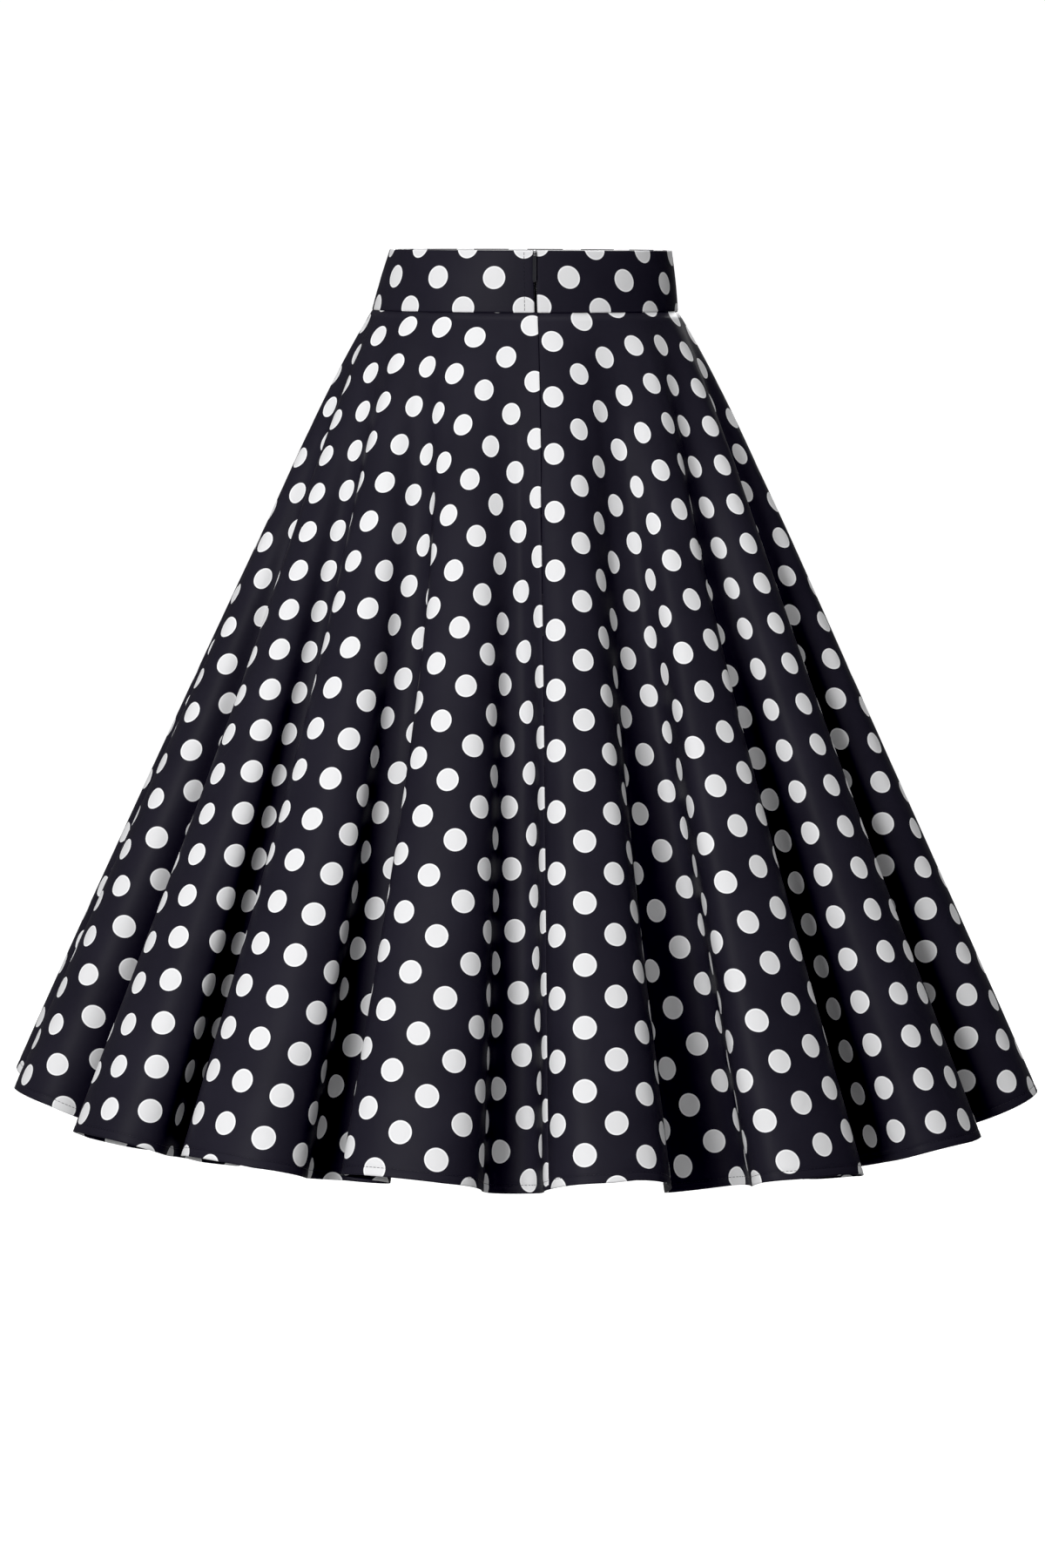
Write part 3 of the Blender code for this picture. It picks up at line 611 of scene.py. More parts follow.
def crease_lift(angles, shares):
    """How far the creases stand out, one row for each share."""
    lift = np.zeros((len(shares), len(angles)))
    shares = np.array(shares)[:, None]
    radius = WAIST_RADIUS + CLOTH_LENGTH * shares
    for crease in CREASES:
        along = np.clip((shares - crease.start) / (crease.end - crease.start), 0.0, 1.0)
        middle = radians(crease.angle) + radians(crease.drift) * along
        away = (angles[None, :] - middle + pi) % (2 * pi) - pi
        across = away * radius / (crease.half / 1000)
        lift += crease.height / 1000 * np.sin(pi * along) ** 2 * np.exp(-across ** 2)
    return lift


print(len(CREASES), "creases")

# %% [markdown]
# ## Sheets of cloth
#
# A sheet starts as a flat grid from `create_grid`.  Each vertex then moves to its
# place on the form.  The pattern's own flat measures, in metres, go into a UV map, so
# that the print lies on the cloth as it was cut and follows every fold.  Solidify
# gives the sheet its thickness, with the reverse of the cloth as its second material.

# %% Sheet from a grid
SHEET_THICKNESS = 0.0007


def grid_sheet(name, points, pattern, thickness, bevel=None):
    """A thin sheet whose outer face runs through points, one row for each ring."""
    rows, columns = points.shape[:2]
    bm = bmesh.new()
    bmesh.ops.create_grid(bm, x_segments=columns - 1, y_segments=rows - 1, size=0.5)
    flat = bm.loops.layers.uv.new("pattern")
    place = {}
    for vert in bm.verts:
        column = round((vert.co.x + 0.5) * (columns - 1))
        row = round((vert.co.y + 0.5) * (rows - 1))
        place[vert] = (row, column)
        vert.co = Vector(points[row, column])
    for face in bm.faces:
        for loop in face.loops:
            loop[flat].uv = pattern[place[loop.vert]]
    bm.normal_update()
    outwards = sum(face.normal.x * face.calc_center_median().x
                   + face.normal.y * face.calc_center_median().y for face in bm.faces)
    if outwards < 0:
        bmesh.ops.reverse_faces(bm, faces=bm.faces[:])
    mesh = bpy.data.meshes.new(name)
    bm.to_mesh(mesh)
    bm.free()
    mesh.shade_smooth()
    thing = bpy.data.objects.new(name, mesh)
    bpy.context.scene.collection.objects.link(thing)
    wall = thing.modifiers.new("wall", "SOLIDIFY")
    wall.thickness = thickness
    wall.offset = -1.0
    wall.use_even_offset = False
    wall.material_offset = 1
    if bevel:
        edge = thing.modifiers.new("soft_edge", "BEVEL")
        edge.width = bevel
        edge.segments = 3
        edge.profile = 0.5
        edge.limit_method = "ANGLE"
        edge.angle_limit = radians(50)
    return thing


# %% [markdown]
# ## The skirt's panels
#
# The front is half of the ring and each back is a quarter.  The columns follow the
# hem curve, so they lie closer where it bends.  At a seam the last two columns turn in
# by a fraction of a millimetre, which draws the fine dark line that a pressed seam
# has.  Over the zip the wearer's left side laps over the right.

# %% Panels
COLUMNS_PER_FLUTE = 48
ROW_COUNT = 88
HEM_DEPTH = 0.0065
HEM_ZONE = 0.011
HEM_ROWS = 9
HEM_STAND_OFF = 0.0001
STITCH_DENT = 0.0003
STITCH_DENT_HALF = 0.0011
SEAM_STEPS = (0.0, 0.0004, 0.0009)
SEAM_DIPS = (0.0007, 0.0003, 0.0)
LAP_OVER = 0.0012
LAP_WIDTH = 0.009
LAP_LIFT = 0.0008
LAP_FADE = 0.02

Panel = namedtuple("Panel", "name node start stop grain print_u print_v")
# pattern angles of the two edges, and of the grain line; place of a dot from the grain
PANELS = [Panel(*row) for row in (
    ("front_cloth", "skirt_front", QUARTER, 3 * QUARTER, pi, 0.006, 0.131),
    ("left_back_cloth", "skirt_back_left", -QUARTER, 0.0, 0.0, -0.004, 0.1245),
    ("right_back_cloth", "skirt_back_right", 0.0, QUARTER, 0.0, 0.013, 0.138),
)]


def panel_angles(panel, radius):
    """Pattern angles across a panel at one radius, with the seams' own columns."""
    every = POINTS_PER_FLUTE * CURVE_STEPS // COLUMNS_PER_FLUTE
    marks = HEM_ANGLES[1:-1:every]
    marks = np.concatenate([marks, marks + 2 * pi])
    edge = SEAM_STEPS[-1] / WAIST_RADIUS + 0.002
    marks = marks[(marks > panel.start + edge) & (marks < panel.stop - edge)]
    steps = np.array(SEAM_STEPS) + SEAM_GAP / 2
    first = panel.start + steps / radius
    last = panel.stop - steps[::-1] / radius
    return np.concatenate([first, marks, last])


def over_zip(share):
    """1 beside the zip, 0 below it, with a soft end."""
    return float(np.clip((ZIP_SHARE - share) / LAP_FADE, 0.0, 1.0))


def lap_lift(panel, angles, share):
    """The lap's edge stands out on the wearer's left and the right side sinks."""
    if panel.node == "skirt_front":
        return np.zeros(len(angles))
    across = np.abs(angles) * (WAIST_RADIUS + CLOTH_LENGTH * share)
    near = np.clip(1 - across / LAP_WIDTH, 0.0, 1.0) ** 2
    side = 1.0 if panel.node == "skirt_back_left" else -1.0
    return side * LAP_LIFT * near * over_zip(share)


def panel_lift(panel, angles, share):
    """How far a panel's outer face stands off the middle surface along one ring."""
    dips = np.zeros(len(angles))
    if not (panel.node == "skirt_back_right" and over_zip(share) > 0):
        dips[:3] = SEAM_DIPS
    if not (panel.node == "skirt_back_left" and over_zip(share) > 0):
        dips[-3:] = SEAM_DIPS[::-1]
    lift = CLOTH_WALL / 2 - dips + crease_lift(angles, [share])[0]
    above_edge = (1 - share) * CLOTH_LENGTH
    lift -= STITCH_DENT * np.exp(-((above_edge - HEM_DEPTH) / STITCH_DENT_HALF) ** 2)
    return lift + lap_lift(panel, angles, share)


def panel_rows():
    """Shares of the length, closer together down the hem."""
    body = np.linspace(0.0, 1.0 - HEM_ZONE / CLOTH_LENGTH, ROW_COUNT)
    hem = np.linspace(body[-1], 1.0, HEM_ROWS + 1)[1:]
    return np.concatenate([body, hem])


def panel_sheet(panel):
    points = []
    pattern = []
    for share in panel_rows():
        radius = WAIST_RADIUS + CLOTH_LENGTH * share
        angles = panel_angles(panel, radius)
        if panel.node == "skirt_back_left":
            angles[-3:] += LAP_OVER / radius * over_zip(share)
        points.append(on_cloth(angles, share, panel_lift(panel, angles, share)))
        turn = angles - panel.grain
        pattern.append(np.stack([radius * np.sin(turn) - panel.print_u,
                                 radius * np.cos(turn) - panel.print_v], -1))
    return grid_sheet(panel.name, np.array(points), np.array(pattern), SHEET_THICKNESS)


cloths = {}
for panel in PANELS:
    cloths[panel.node] = panel_sheet(panel)
    print(panel.name, len(cloths[panel.node].data.polygons), "faces")

# %% [markdown]
# ## The turned hem
#
# A hem is folded up twice inside, so a narrow band of cloth lies behind the edge.
# Each hem is a strip of its own behind the panel, one cloth thickness further in,
# and its top edge tucks back against the panel.

# %% Hem strips
HEM_SHARES = (0.0, 0.0016, 0.0034, 0.0052, HEM_DEPTH + 0.0006, HEM_DEPTH + 0.0012)
HEM_TUCKS = (0.0002, 0.0, 0.0, 0.0, 0.0, 0.0003)


def hem_strip(panel):
    points = []
    pattern = []
    for height, tuck in zip(HEM_SHARES, HEM_TUCKS):
        share = 1.0 - height / CLOTH_LENGTH
        radius = WAIST_RADIUS + CLOTH_LENGTH * share
        angles = panel_angles(panel, radius)
        lift = panel_lift(panel, angles, share) - SHEET_THICKNESS - HEM_STAND_OFF + tuck
        points.append(on_cloth(angles, share, lift))
        turn = angles - panel.grain
        folded = radius + 2 * height
        pattern.append(np.stack([folded * np.sin(turn) - panel.print_u,
                                 folded * np.cos(turn) - panel.print_v], -1))
    name = panel.name.replace("cloth", "hem")
    return grid_sheet(name, np.array(points), np.array(pattern), SHEET_THICKNESS)


hems = {}
for panel in PANELS:
    hems[panel.node] = hem_strip(panel)
    print(hems[panel.node].name, len(hems[panel.node].data.polygons), "faces")

# %% [markdown]
# ## The waistband
#
# The band is doubled and interlined, so it is stiff and stands smooth, with softly
# rounded edges.  It is a sheet of its own on the band's form.  The left end stops at
# the zip, and the right end starts on its other side.

# %% Bands
BAND_COLUMNS_PER_QUARTER = 56
BAND_ROW_COUNT = 26
BAND_EDGE = 0.0010
BAND_PRINT_RADIUS = 0.1095

Band = namedtuple("Band", "name node start stop start_gap stop_gap print_u print_v print_lean")
# gaps at the two ends, place of a dot from the zip and the top edge, lean of the rows
BANDS = [Band(*row) for row in (
    ("front_band", "waistband_front", QUARTER, 3 * QUARTER, SEAM_GAP, SEAM_GAP, 0.010, 0.004, 0.0),
    ("left_back_band", "waistband_back_left", -QUARTER, 0.0, SEAM_GAP, BAND_SLIT,
     -0.0090, -0.0025, 0.0),
    ("right_back_band", "waistband_back_right", 0.0, QUARTER, BAND_SLIT, SEAM_GAP,
     0.0030, -0.0045, 0.055),
)]


def band_sheet(band):
    quarters = round((band.stop - band.start) / QUARTER)
    columns = quarters * BAND_COLUMNS_PER_QUARTER + 1
    angles = np.linspace(band.start + band.start_gap / 2 / WAIST_RADIUS,
                         band.stop - band.stop_gap / 2 / WAIST_RADIUS, columns)
    across = angles * BAND_PRINT_RADIUS
    points = []
    pattern = []
    for drop in np.linspace(0.0, BAND_HEIGHT, BAND_ROW_COUNT):
        points.append(on_band(angles, drop, BAND_WALL / 2))
        down = drop - band.print_v - band.print_lean * np.abs(across)
        pattern.append(np.stack([across - band.print_u, np.broadcast_to(down, across.shape)], -1))
    return grid_sheet(band.name, np.array(points), np.array(pattern), BAND_WALL, BAND_EDGE)


for band in BANDS:
    cloths[band.node] = band_sheet(band)
    print(band.name, len(cloths[band.node].data.polygons), "faces")

# %% [markdown]
# ## Machine stitches
#
# A stitch is a short length of thread that dives into the cloth at both ends.  One
# could stretch a ball for each, but the hem alone has more than a thousand, so each
# stitch is a short spline with thin ends, and all of a run are splines of one curve.
# The curve gives them their round section at once and is then made a mesh.

# %% Stitches
STITCH_LENGTH = 0.0026
STITCH_PITCH = 0.0032
THREAD_RADIUS = 0.00021
THREAD_LIFT = 0.00005
STITCH_SHAPE = ((-0.5, 0.3), (-0.3, 1.0), (0.3, 1.0), (0.5, 0.3))


def stitches(name, line):
    """Short splines along a line of closely spaced points, as one mesh."""
    curve = bpy.data.curves.new(name, "CURVE")
    curve.dimensions = "3D"
    curve.bevel_depth = THREAD_RADIUS
    curve.bevel_resolution = 1
    curve.use_fill_caps = True
    length = np.concatenate([[0.0], np.cumsum(np.linalg.norm(np.diff(line, axis=0), axis=1))])
    count = int(length[-1] / STITCH_PITCH)
    shares, radii = zip(*STITCH_SHAPE)
    for centre in (np.arange(count) + 0.5) * length[-1] / count:
        steps = centre + np.array(shares) * STITCH_LENGTH
        places = np.stack([np.interp(steps, length, line[:, k]) for k in range(3)], -1)
        spline = curve.splines.new("POLY")
        spline.points.add(len(shares) - 1)
        for point, place, radius in zip(spline.points, places, radii):
            point.co = (*place, 1.0)
            point.radius = radius
    drawn = bpy.data.objects.new(name, curve)
    bpy.context.scene.collection.objects.link(drawn)
    depsgraph = bpy.context.evaluated_depsgraph_get()
    mesh = bpy.data.meshes.new_from_object(drawn.evaluated_get(depsgraph))
    bpy.data.objects.remove(drawn, do_unlink=True)
    mesh.shade_smooth()
    thing = bpy.data.objects.new(name, mesh)
    bpy.context.scene.collection.objects.link(thing)
    return thing


def hem_stitches(panel):
    share = 1.0 - HEM_DEPTH / CLOTH_LENGTH
    angles = panel_angles(panel, WAIST_RADIUS + CLOTH_LENGTH * share)
    line = on_cloth(angles, share, panel_lift(panel, angles, share) + THREAD_LIFT)
    return stitches(panel.name.replace("cloth", "hem_stitches"), line)


threads = [hem_stitches(panel) for panel in PANELS]
print("hem stitches", sum(len(thing.data.polygons) for thing in threads), "faces")

# %% Topstitching of the lap
LAP_STITCH = 0.0092
LAP_STITCH_ENDS = 0.0012

LAP_STEPS = 40

lap_drops = np.linspace(LAP_STITCH_ENDS, BAND_HEIGHT - LAP_STITCH_ENDS, LAP_STEPS)
lap_angle = np.array([-LAP_STITCH / WAIST_RADIUS])
lap_line = [on_band(lap_angle, drop, BAND_WALL / 2 + THREAD_LIFT)[0] for drop in lap_drops]
threads.append(stitches("lap_stitches", np.array(lap_line)))
print("lap stitches", len(threads[-1].data.polygons), "faces")

# %% [markdown]
# ## The zip
#
# The zip is closed.  Two woven tapes are sewn behind the edges, and a coil of nylon
# teeth runs between them from the slider down to the end of the opening.  Each turn
# of the coil is a small rounded bar, left and right in turn.  The slider and its tab
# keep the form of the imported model.

# %% Tapes and teeth
TAPE_WIDTH = 0.0110
TAPE_INNER_EDGE = 0.0026
TAPE_TOP_DROP = 0.0040
TAPE_TAIL = 0.0080
TAPE_THICKNESS = 0.0006
TAPE_DEPTH = 0.0010
TAPE_COLUMN_COUNT = 9
TAPE_ROW_COUNT = 90
TOOTH = (0.0034, 0.0010, 0.00130)
TOOTH_PITCH = 0.0015
TOOTH_REACH = 0.0009


def behind_back(across, drop, depth):
    """Points behind the cloth at distances across the centre back line."""
    across = np.atleast_1d(across)
    if drop <= BAND_HEIGHT:
        return on_band(across / WAIST_RADIUS, drop, -BAND_WALL / 2 - depth)
    share = (drop - BAND_HEIGHT) / CLOTH_LENGTH
    angles = across / (WAIST_RADIUS + CLOTH_LENGTH * share)
    return on_cloth(angles, share, -CLOTH_WALL / 2 - depth)


def zip_tape(side, name):
    across = side * np.linspace(TAPE_INNER_EDGE, TAPE_INNER_EDGE + TAPE_WIDTH, TAPE_COLUMN_COUNT)
    drops = np.linspace(TAPE_TOP_DROP, ZIP_LENGTH + TAPE_TAIL, TAPE_ROW_COUNT)
    points = np.array([behind_back(across, drop, TAPE_DEPTH) for drop in drops])
    pattern = np.array([[(place, drop) for place in across] for drop in drops])
    return grid_sheet(name, points, pattern, TAPE_THICKNESS)


tapes = {"zip_tape_left": zip_tape(-1, "left_tape"), "zip_tape_right": zip_tape(1, "right_tape")}

teeth_mesh = bmesh.new()
slider_foot = BAND_HEIGHT / 2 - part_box("zip_slider")[0][2] + TOOTH[2]
tooth_drops = np.arange(slider_foot, ZIP_LENGTH, TOOTH_PITCH / 2)
for number, drop in enumerate(tooth_drops):
    side = 1 if number % 2 else -1
    place = behind_back(side * TOOTH_REACH, drop, TAPE_DEPTH + TAPE_THICKNESS / 2)[0]
    matrix = Matrix.Translation(Vector(place)) @ Matrix.Diagonal((*TOOTH, 1.0))
    bmesh.ops.create_cube(teeth_mesh, size=1.0, matrix=matrix)
bmesh.ops.bevel(teeth_mesh, geom=teeth_mesh.edges[:], offset=0.00018, segments=1, profile=0.5,
                affect="EDGES", material=-1)
teeth_data = bpy.data.meshes.new("zip_teeth")
teeth_mesh.to_mesh(teeth_data)
teeth_mesh.free()
teeth = bpy.data.objects.new("zip_teeth", teeth_data)
bpy.context.scene.collection.objects.link(teeth)
print(len(tooth_drops), "teeth")

# %% [markdown]
# ## Effects that several materials share
#
# Three small node groups put out masks and heights: the printed dots, the plain
# weave, and a slow unevenness of the dye.  They read the pattern's flat measures, so
# a thread or a dot keeps its real size wherever the cloth lies.

# %% Helpers for node groups
def new_group(name, inputs, outputs):
    """A node group with named sockets; inputs and outputs are (name, type, default)."""
    group = bpy.data.node_groups.new(name, "ShaderNodeTree")
    for label, kind, value in inputs:
        socket = group.interface.new_socket(name=label, in_out="INPUT", socket_type=kind)
        if value is not None:
            socket.default_value = value
    for label, kind in outputs:
        group.interface.new_socket(name=label, in_out="OUTPUT", socket_type=kind)
    return group, group.nodes.new("NodeGroupInput"), group.nodes.new("NodeGroupOutput")


def math_node(tree, operation, *values):
    """A Math node whose inputs are numbers or sockets; returns its output."""
    node = tree.nodes.new("ShaderNodeMath")
    node.operation = operation
    for socket, value in zip(node.inputs, values):
        if isinstance(value, (int, float)):
            socket.default_value = value
        else:
            tree.links.new(value, socket)
    return node.outputs[0]


# %% Group: printed dots
def dot_distance(tree, across, down, pitch, shift):
    """Distance to the nearest dot of a square lattice moved by a share of its pitch."""
    offsets = []
    for value in (across, down):
        cell = math_node(tree, "ADD", math_node(tree, "DIVIDE", value, pitch), 0.5 + shift)
        offset = math_node(tree, "SUBTRACT", math_node(tree, "FRACT", cell), 0.5)
        offsets.append(math_node(tree, "MULTIPLY", offset, offset))
    squared = math_node(tree, "ADD", *offsets)
    return math_node(tree, "MULTIPLY", math_node(tree, "SQRT", squared), pitch)


def printed_dots():
    group, given, made = new_group("printed_dots", [
        ("Pattern", "NodeSocketVector", None),
        ("Pitch", "NodeSocketFloat", 0.0455),
        ("Diameter", "NodeSocketFloat", 0.018),
        ("Edge", "NodeSocketFloat", 0.0002),
        ("Rim", "NodeSocketFloat", 0.0011),
    ], [("Mask", "NodeSocketFloat"), ("Middle", "NodeSocketFloat")])
    parts = group.nodes.new("ShaderNodeSeparateXYZ")
    group.links.new(given.outputs["Pattern"], parts.inputs[0])
    pitch = given.outputs["Pitch"]
    first = dot_distance(group, parts.outputs["X"], parts.outputs["Y"], pitch, 0.0)
    second = dot_distance(group, parts.outputs["X"], parts.outputs["Y"], pitch, 0.5)
    nearest = math_node(group, "MINIMUM", first, second)
    radius = math_node(group, "MULTIPLY", given.outputs["Diameter"], 0.5)
    inside = math_node(group, "SUBTRACT", radius, nearest)
    soft = math_node(group, "DIVIDE", inside, given.outputs["Edge"])
    raised = math_node(group, "ADD", soft, 0.5)
    clamp = group.nodes.new("ShaderNodeClamp")
    group.links.new(raised, clamp.inputs["Value"])
    group.links.new(clamp.outputs[0], made.inputs["Mask"])
    within = math_node(group, "DIVIDE", inside, given.outputs["Rim"])
    middle = group.nodes.new("ShaderNodeClamp")
    group.links.new(math_node(group, "SUBTRACT", within, 0.5), middle.inputs["Value"])
    group.links.new(middle.outputs[0], made.inputs["Middle"])
    return group


DOTS = printed_dots()


# %% Group: plain weave
def plain_weave():
    group, given, made = new_group("plain_weave", [
        ("Pattern", "NodeSocketVector", None),
        ("Thread", "NodeSocketFloat", 0.0004),
    ], [("Height", "NodeSocketFloat")])
    parts = group.nodes.new("ShaderNodeSeparateXYZ")
    group.links.new(given.outputs["Pattern"], parts.inputs[0])
    waves = []
    for axis in ("X", "Y"):
        turns = math_node(group, "DIVIDE", parts.outputs[axis], given.outputs["Thread"])
        waves.append(math_node(group, "SINE", math_node(group, "MULTIPLY", turns, pi)))
    crossing = math_node(group, "MULTIPLY", *waves)
    group.links.new(math_node(group, "MULTIPLY_ADD", crossing, 0.5, 0.5), made.inputs["Height"])
    return group


WEAVE = plain_weave()


# %% Group: uneven dye and fine wrinkles
def uneven_cloth():
    group, given, made = new_group("uneven_cloth", [
        ("Pattern", "NodeSocketVector", None),
        ("Patch Scale", "NodeSocketFloat", 14.0),
        ("Wrinkle Scale", "NodeSocketFloat", 38.0),
    ], [("Shade", "NodeSocketFloat"), ("Wrinkle", "NodeSocketFloat")])
    patches = group.nodes.new("ShaderNodeTexNoise")
    patches.inputs["Detail"].default_value = 3.0
    group.links.new(given.outputs["Pattern"], patches.inputs["Vector"])
    group.links.new(given.outputs["Patch Scale"], patches.inputs["Scale"])
    group.links.new(patches.outputs["Fac"], made.inputs["Shade"])
    wrinkles = group.nodes.new("ShaderNodeTexNoise")
    wrinkles.inputs["Detail"].default_value = 2.0
    wrinkles.inputs["Distortion"].default_value = 0.6
    group.links.new(given.outputs["Pattern"], wrinkles.inputs["Vector"])
    group.links.new(given.outputs["Wrinkle Scale"], wrinkles.inputs["Scale"])
    group.links.new(wrinkles.outputs["Fac"], made.inputs["Wrinkle"])
    return group


UNEVEN = uneven_cloth()
print("groups", [group.name for group in bpy.data.node_groups])

# %% [markdown]
# ## Printed cotton, and its reverse
#
# The ground is a navy so dark that it reads as black in the folds, with a trace of
# blue where the light strikes.  The dots are the white of the undyed cotton, with a
# clean bright rim where the dye stops.  On the reverse the dye has only half come
# through, so the ground is paler and the dots are duller.  Cotton is nearly matt, so
# the shader has only a faint specular and no sheen.

# %% Helpers for materials
def place_group(tree, group, **values):
    """The group in a material; values set its inputs by name."""
    node = tree.nodes.new("ShaderNodeGroup")
    node.node_tree = group
    for label, value in values.items():
        node.inputs[label.replace("_", " ")].default_value = value
    return node


def colour_mix(tree, factor, first, second):
    """A Mix node for colours; each input is a socket or a colour."""
    node = tree.nodes.new("ShaderNodeMix")
    node.data_type = "RGBA"
    for index, value in ((0, factor), (6, first), (7, second)):
        socket = node.inputs[index]
        if isinstance(value, tuple):
            socket.default_value = (*value, 1.0)
        else:
            tree.links.new(value, socket)
    return node.outputs[2]


def bump(tree, height, distance, strength, under=None):
    node = tree.nodes.new("ShaderNodeBump")
    node.inputs["Distance"].default_value = distance
    node.inputs["Strength"].default_value = strength
    tree.links.new(height, node.inputs["Height"])
    if under is not None:
        tree.links.new(under, node.inputs["Normal"])
    return node.outputs["Normal"]


def new_material(name, roughness, specular, sheen=0.0):
    """A material, its node tree and its shader."""
    made = bpy.data.materials.new(name)
    made.use_nodes = True
    shader = made.node_tree.nodes["Principled BSDF"]
    shader.inputs["Roughness"].default_value = roughness
    shader.inputs["Specular IOR Level"].default_value = specular
    shader.inputs["Sheen Weight"].default_value = sheen
    shader.inputs["Sheen Roughness"].default_value = 0.4
    return made, made.node_tree, shader


def pattern_groups(tree, *groups):
    """Groups that read the piece's own flat measures."""
    source = tree.nodes.new("ShaderNodeUVMap")
    source.uv_map = "pattern"
    placed = [place_group(tree, group) for group in groups]
    for node in placed:
        tree.links.new(source.outputs["UV"], node.inputs["Pattern"])
    return placed


# %% Cotton
DOT_PITCH = 0.0489
DOT_DIAMETER = 0.0183

Cotton = namedtuple("Cotton", "name ground dot rim roughness")
COTTONS = [Cotton(*row) for row in (
    ("printed_cotton_face", (0.0180, 0.0168, 0.0242), (0.73, 0.73, 0.74), (0.87, 0.87, 0.88), 0.48),
    ("printed_cotton_reverse", (0.040, 0.038, 0.052), (0.42, 0.42, 0.44), (0.46, 0.46, 0.48), 0.85),
)]


def cotton_material(look):
    made, tree, shader = new_material(look.name, look.roughness, 0.05, 0.0)
    dots, weave, uneven = pattern_groups(tree, DOTS, WEAVE, UNEVEN)
    dots.inputs["Pitch"].default_value = DOT_PITCH
    dots.inputs["Diameter"].default_value = DOT_DIAMETER
    ground = colour_mix(tree, uneven.outputs["Shade"], tuple(0.75 * c for c in look.ground),
                        tuple(1.25 * c for c in look.ground))
    white = colour_mix(tree, dots.outputs["Middle"], look.rim, look.dot)
    printed = colour_mix(tree, dots.outputs["Mask"], ground, white)
    tree.links.new(printed, shader.inputs["Base Color"])
    folds = bump(tree, uneven.outputs["Wrinkle"], 0.0012, 0.35)
    threads = bump(tree, weave.outputs["Height"], 0.00008, 0.35, folds)
    tree.links.new(threads, shader.inputs["Normal"])
    return made


cotton_face, cotton_reverse = (cotton_material(look) for look in COTTONS)

# %% [markdown]
# ## Plain cloths, thread and metal
#
# The inside of the waistband is a pale plain cotton.  The zip's tapes are a dark
# herringbone, the teeth are nylon and the thread is a matt navy.  The slider is dull
# plated metal, and its tab is enamelled as dark as the cloth.

# %% Plain cloths
Plain = namedtuple("Plain", "name colour roughness thread_size")
PLAINS = [Plain(*row) for row in (
    ("pale_band_facing", (0.62, 0.62, 0.62), 0.85, 0.00045),
    ("navy_zip_tape", (0.012, 0.012, 0.018), 0.8, 0.0007),
)]


def plain_cloth(look):
    made, tree, shader = new_material(look.name, look.roughness, 0.2, 0.02)
    weave, uneven = pattern_groups(tree, WEAVE, UNEVEN)
    weave.inputs["Thread"].default_value = look.thread_size
    shade = colour_mix(tree, uneven.outputs["Shade"], tuple(0.85 * c for c in look.colour),
                       look.colour)
    tree.links.new(shade, shader.inputs["Base Color"])
    tree.links.new(bump(tree, weave.outputs["Height"], 0.0001, 0.5), shader.inputs["Normal"])
    return made


band_facing, tape_cloth = (plain_cloth(look) for look in PLAINS)

# %% Group: fine unevenness of a solid finish
def worn_finish():
    group, given, made = new_group("worn_finish", [
        ("Place", "NodeSocketVector", None),
        ("Scale", "NodeSocketFloat", 900.0),
    ], [("Shade", "NodeSocketFloat"), ("Roughness", "NodeSocketFloat")])
    grain = group.nodes.new("ShaderNodeTexNoise")
    grain.inputs["Detail"].default_value = 4.0
    group.links.new(given.outputs["Place"], grain.inputs["Vector"])
    group.links.new(given.outputs["Scale"], grain.inputs["Scale"])
    group.links.new(grain.outputs["Fac"], made.inputs["Shade"])
    rough = math_node(group, "MULTIPLY_ADD", grain.outputs["Fac"], 0.25, 0.25)
    group.links.new(rough, made.inputs["Roughness"])
    return group


WORN = worn_finish()

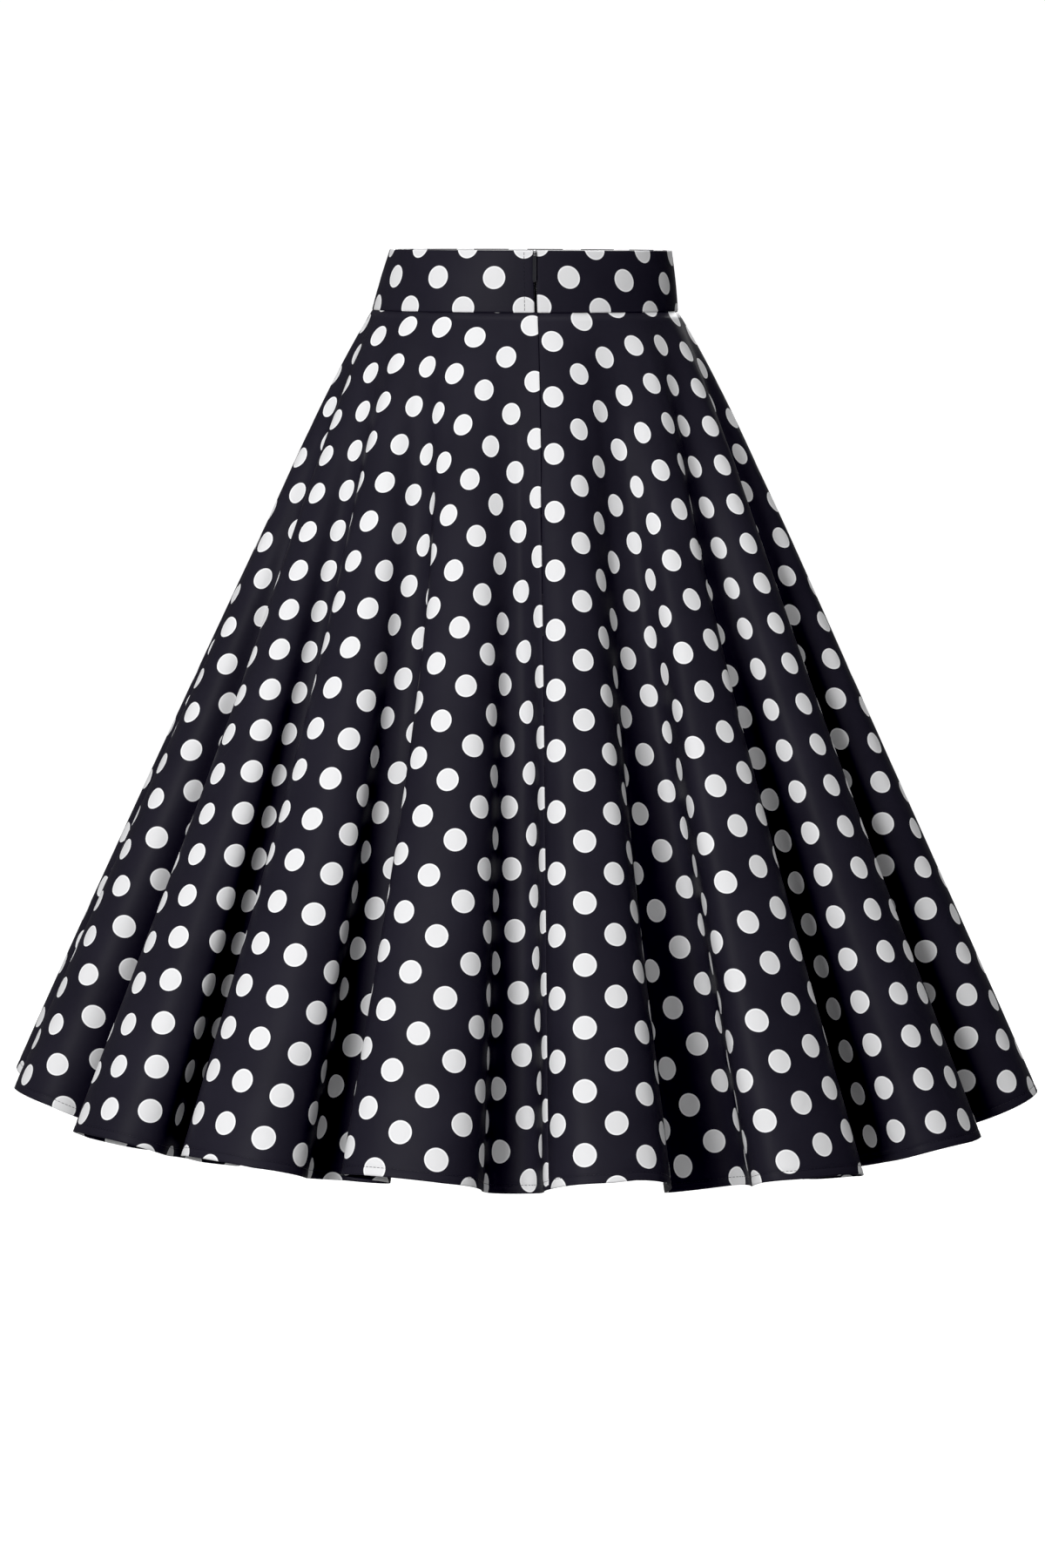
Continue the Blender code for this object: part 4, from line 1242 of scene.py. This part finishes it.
# %% Thread, nylon, metal and enamel
Solid = namedtuple("Solid", "name dark light metallic specular")
SOLIDS = [Solid(*row) for row in (
    ("navy_thread", (0.006, 0.006, 0.010), (0.013, 0.012, 0.020), 0.0, 0.2),
    ("nylon_teeth", (0.006, 0.006, 0.008), (0.011, 0.011, 0.014), 0.0, 0.1),
    ("plated_slider", (0.30, 0.30, 0.31), (0.50, 0.50, 0.51), 1.0, 0.5),
    ("dark_enamel", (0.010, 0.010, 0.013), (0.018, 0.018, 0.022), 0.0, 0.15),
)]


def solid_finish(look):
    made, tree, shader = new_material(look.name, 0.4, look.specular)
    shader.inputs["Metallic"].default_value = look.metallic
    source = tree.nodes.new("ShaderNodeTexCoord")
    worn = place_group(tree, WORN)
    tree.links.new(source.outputs["Object"], worn.inputs["Place"])
    shade = colour_mix(tree, worn.outputs["Shade"], look.dark, look.light)
    tree.links.new(shade, shader.inputs["Base Color"])
    tree.links.new(worn.outputs["Roughness"], shader.inputs["Roughness"])
    return made


navy_thread, nylon_teeth, plated_slider, dark_enamel = (solid_finish(look) for look in SOLIDS)

# %% Materials on the pieces
for panel in PANELS:
    for piece in (cloths[panel.node], hems[panel.node]):
        piece.data.materials.append(cotton_face)
        piece.data.materials.append(cotton_reverse)
    hems[panel.node].data.materials[0] = cotton_reverse
    hems[panel.node].data.materials[1] = cotton_face
for band in BANDS:
    cloths[band.node].data.materials.append(cotton_face)
    cloths[band.node].data.materials.append(band_facing)
for thread in threads:
    thread.data.materials.append(navy_thread)
for piece in tapes.values():
    piece.data.materials.append(tape_cloth)
    piece.data.materials.append(tape_cloth)
teeth.data.materials.append(nylon_teeth)
for node, look in (("zip_slider", plated_slider), ("zip_pull", dark_enamel)):
    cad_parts[node].data.materials.clear()
    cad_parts[node].data.materials.append(look)
print("materials", len(bpy.data.materials))

# %% [markdown]
# ## Handing the pieces over
#
# Every new piece rides on the body that it belongs to, and the plain solids of the
# cloth, the bands and the tapes are hidden.

# %% Ride and replace
for panel in PANELS:
    cloth = cloths[panel.node]
    hem = hems[panel.node]
    for piece in (cloth, hem):
        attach(piece, "skirt")
    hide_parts(panel.node)
for band in BANDS:
    cloth = cloths[band.node]
    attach(cloth, "skirt")
    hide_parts(band.node)
for node, piece in tapes.items():
    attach(piece, "skirt")
    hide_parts(node)
for piece in (*threads, teeth):
    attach(piece, "skirt")
print(len(cloths) + len(hems) + len(tapes) + len(threads) + 1, "pieces handed over")
